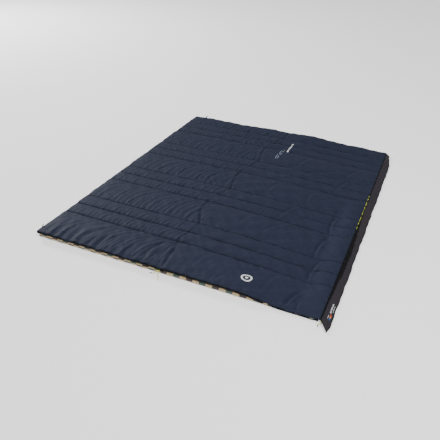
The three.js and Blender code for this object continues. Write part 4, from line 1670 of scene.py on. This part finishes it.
@dataclass(frozen=True)
class Baffle:
    """The draught flap along the right side: a padded tube of charcoal cloth with a bound edge."""

    layout: Layout
    inner: float = 1.801
    outer: float = 1.8595
    inner_height: float = 0.0235
    outer_height: float = 0.0022
    tail: float = 0.062
    stations: int = 420
    corners: int = 26

    def edges(self, along: Array) -> tuple[Array, Array]:
        """Give the inner and outer edges' distances from the left, with the cut tail and the taper.

        Below the foot edge both edges run to one point. Towards the head the flap narrows.
        """
        narrow = np.clip((along - 1.95) / 0.30, 0, 1)
        outer = self.outer - 0.030 * narrow**1.5 - 0.0020 * (1 + waves(41, along, (0.52, 0.23, 0.11)))
        tail = np.clip(-along / self.tail, 0, 1)
        tip = self.outer - 0.013
        return self.inner + (tip - self.inner) * tail, outer + (tip - outer) * tail**1.5

    def surface(self, along: Array, share: Array, upper: bool) -> Array:
        """Place points of the flap's upper or lower cloth.

        With s the share of the way from the inner edge to the outer one, the height falls as
        (1 - s)^1.15 from the seam to the ground. Upper and lower cloth part by a low arch,
        thickness sin(pi s)^0.7, and upright puckers gather at the inner seam.
        """
        inner, outer = self.edges(along)
        x = inner + (outer - inner) * share
        slope = self.outer_height + (self.inner_height - self.outer_height) * (1 - share) ** 1.15
        flat = np.clip(-along / self.tail, 0, 1)
        slope = slope * (1 - 0.55 * flat)
        loft = 0.0034 * np.sin(math.pi * np.clip(share, 0, 1)) ** 0.7 * np.clip(1 - 1.1 * flat, 0, 1) + 0.0004
        gathered = bell(along - 0.62, 0.42) * 0.8 + 0.2
        pucker = 0.0017 * waves(43, along + 0.3 * share * 0.05, (0.027, 0.041, 0.066)) * gathered
        pucker = pucker * np.exp(-share / 0.45) * np.clip(share / 0.08, 0, 1) * (1 - flat)
        z = slope + pucker + (loft if upper else -0.55 * loft)
        return np.stack([self.layout.left + x, self.layout.foot + along, np.maximum(z, 0.0003)], axis=-1)

    def closed(self, name: str, low: float, high: float, squeeze: float) -> Piece:
        """Make the tube between two places along the flap, drawn in by squeeze towards its middle."""
        along = np.linspace(high, low, self.stations)
        share = (1 - np.cos(np.linspace(0, math.pi, self.corners))) / 2
        share = 0.5 + (share - 0.5) * (1 - squeeze)
        station, place = np.meshgrid(along, share, indexing="ij")
        top = self.surface(station, place, upper=True)
        under = self.surface(station, place, upper=False)[:, 1:-1][:, ::-1]
        ring = np.concatenate([top, under], axis=1)
        if squeeze > 0:
            middle = ring.mean(axis=1, keepdims=True)
            ring = middle + (ring - middle) * (1 - squeeze)
        shares = np.concatenate([place, place[:, 1:-1][:, ::-1]], axis=1)
        run = np.broadcast_to(along[:, None], ring.shape[:2])
        uv = np.stack([shares * (self.outer - self.inner), run], axis=-1)
        return capped_rings(name, ring, uv, reverse=False)

    def build(self, finishes: Finishes) -> None:
        """Make the casing, its wadding, the bound outer edge and the woven label."""
        layout = self.layout
        casing = self.closed("baffle_casing_cloth", -self.tail, layout.length - 0.002, 0.0)
        fit(casing, finishes.baffle, "baffle_cloth", "baffle_casing", body="baffle")
        filling = self.closed("baffle_wadding", 0.015, layout.length - 0.02, 0.18)
        fit(filling, finishes.wadding, "wadding", "baffle_filling", body="baffle")
        along = np.linspace(-self.tail + 0.002, layout.length - 0.004, self.stations)
        _, outer = self.edges(along)
        rim = np.stack([
            layout.left + outer, layout.foot + along,
            0.0026 + 0.0008 * (1 + waves(47, along, (0.06, 0.11))),
        ], axis=-1)
        piping = tube_piece("baffle_edge_piping", rim, np.full(len(along), 0.0017), 8)
        fit(piping, finishes.binding, "binding", body="baffle")
        self.seam_tape(finishes)
        self.label(finishes)

    def seam_tape(self, finishes: Finishes) -> None:
        """Sew a narrow black tape along the quilt's right rim, which the flap hangs from."""
        count = 300
        along = np.linspace(self.layout.length - 0.012, 0.004, count)
        centres = np.stack([
            np.full(count, self.layout.left + 1.8002), self.layout.foot + along, np.full(count, 0.0188),
        ], axis=-1)
        section = np.array([[(-0.0038, -0.0002), (-0.0038, 0.0004), (0.0034, 0.0018), (0.0034, 0.0012)]])
        tape = swept_section("baffle_seam_tape", centres, EAST, UP, section)
        fit(tape, finishes.tape, "zip_tape")
        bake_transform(tape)

    def label(self, finishes: Finishes) -> None:
        """Lay the woven label on the upper cloth, with a short skirt down to it."""
        low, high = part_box("baffle_label")
        along = np.linspace(low[1], high[1], 48) - self.layout.foot
        inner, outer = self.edges(along)
        start = (low[0] - self.layout.left - inner.mean()) / (outer.mean() - inner.mean())
        stop = (high[0] - self.layout.left - inner.mean()) / (outer.mean() - inner.mean())
        share = np.linspace(start, stop, 12)
        station, place = np.meshgrid(along, share, indexing="ij")
        points = self.surface(station, place, upper=True)
        lift = np.full(points.shape[:2], 0.0009)
        lift[0] = lift[-1] = -0.0003
        lift[:, 0] = lift[:, -1] = -0.0003
        points[..., 2] += lift
        u = (station - along[0]) / (along[-1] - along[0])
        v = (place - start) / (stop - start)
        label = lattice_piece("woven_label", points, np.stack([u, v], axis=-1), flip=True)
        fit(label, finishes.label, "woven_label", "baffle_label", body="baffle")


# ---------------------------------------------------------------- small parts kept from the frame


@dataclass(frozen=True)
class CornerStrap:
    """The black strap that wraps the foot-left corner and ends in a small upturned tip."""

    layout: Layout
    thickness: float = 0.0030

    def build(self, finishes: Finishes) -> None:
        """Sweep a flat rounded section round the corner, its edges rising to the tip at the end."""
        route = np.array([
            (0.024, -0.0016), (0.014, -0.0020), (0.005, -0.0024), (-0.0004, -0.0018),
            (-0.0018, 0.003), (-0.0020, 0.012), (-0.0020, 0.028), (-0.0020, 0.044),
            (-0.0020, 0.053), (-0.0020, 0.060), (-0.0020, 0.064),
        ])
        lows = np.array([0.031, 0.030, 0.029, 0.029, 0.029, 0.030, 0.030, 0.031, 0.038, 0.050, 0.0585])
        highs = np.array([0.043, 0.045, 0.0465, 0.047, 0.047, 0.047, 0.047, 0.0475, 0.053, 0.0605, 0.0610])
        path = spline_through(np.column_stack([route, lows, highs]), 90)
        ahead = np.gradient(path[:, :2], axis=0)
        ahead /= np.linalg.norm(ahead, axis=1, keepdims=True)
        sideways = np.column_stack([-ahead[:, 1], ahead[:, 0], np.zeros(len(path))])
        centres = np.column_stack([
            path[:, 0] + self.layout.left, path[:, 1] + self.layout.foot, (path[:, 2] + path[:, 3]) / 2,
        ])
        half = np.maximum((path[:, 3] - path[:, 2]) / 2, 0.0006)
        corners = rounded_section(self.thickness, 2.0, 0.5, math.pi / 12)
        section = corners * np.column_stack([np.ones(len(half)), half])[:, None]
        strap = swept_section("corner_strap", centres, -sideways, UP, section)
        fit(strap, finishes.webbing, "webbing", "corner_guard", body="left_half")


@dataclass(frozen=True)
class ZipPin:
    """The moulded pin at the start of the right foot zip, fixed where it lies."""

    layout: Layout

    def build(self, finishes: Finishes) -> None:
        """Sweep a rounded section through the pin's place, drawn in at both ends."""
        low, high = (np.array(corner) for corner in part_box("zip_pin"))
        count = 24
        x = np.linspace(low[0], high[0], count)
        middle = (low + high) / 2
        centres = np.column_stack([x, np.full(count, middle[1]), np.full(count, middle[2])])
        share = np.sin(math.pi * np.linspace(0.04, 0.96, count)) ** 0.25
        corners = rounded_section(high[1] - low[1], high[2] - low[2], 0.6, math.pi / 12)
        section = corners * share[:, None, None]
        pin = swept_section("zip_pin_moulding", centres, NORTH, UP, section)
        fit(pin, finishes.plastic, "zip_end", "zip_pin")
        blend_over_fold(pin)


class SmallPart(Enum):
    """Frame solids whose shape stands as it is, by the finish they take."""

    METAL = ("foot_slider_body", "side_slider_body", "foot_pull_loop", "side_pull_loop")
    PLASTIC = ("zip_box", "zip_stop_left", "zip_stop_right", "foot_cord_tip", "side_cord_tip")
    WEBBING = ("hang_loop",)


def dress_small_parts(finishes: Finishes) -> None:
    """Give the kept solids their finishes and soften their edges with a fine bevel."""
    finish = {
        SmallPart.METAL: finishes.metal,
        SmallPart.PLASTIC: finishes.plastic,
        SmallPart.WEBBING: finishes.webbing,
    }
    for kind, material in finish.items():
        for name in kind.value:
            part = bpy.data.objects[name]
            for slot in part.material_slots:
                slot.material = material
            bevel = part.modifiers.new("soft_edges", "BEVEL")
            bevel.width = 0.0003
            bevel.segments = 2
            bevel.limit_method = "ANGLE"


def main() -> None:
    """Build the quilt piece by piece."""
    logging.basicConfig(level=logging.INFO, format="%(name)s: %(message)s")
    layout = Layout.from_frame()
    finishes = Finishes()
    studio = Studio()
    studio.camera()
    for cord in CORDS:
        cord.build(finishes, layout)
    studio.lights()
    studio.floor(finishes)
    shell = Shell(layout)
    shell.build(finishes)
    Lining(layout).build(finishes)
    Stitching(layout, shell).build(finishes)
    TransferPrint(layout, shell).build(finishes)
    for run in Run:
        ZipRun(run, layout).build(finishes)
    HeadBinding(layout).build(finishes)
    Baffle(layout).build(finishes)
    CornerStrap(layout).build(finishes)
    ZipPin(layout).build(finishes)
    dress_small_parts(finishes)
    for layer, low, high in (("inner", 0.0, 0.48), ("outer", 0.5, 1.0)):
        nodes = (f"{layer}_batt_left", f"{layer}_batt_right")
        Wadding(f"{layer}_wadding", layout, shell, low, high, nodes).build(finishes)
    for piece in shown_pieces():
        LOG.info("%s: %d faces", piece.name, len(piece.data.polygons))


if __name__ == "__main__":
    main()
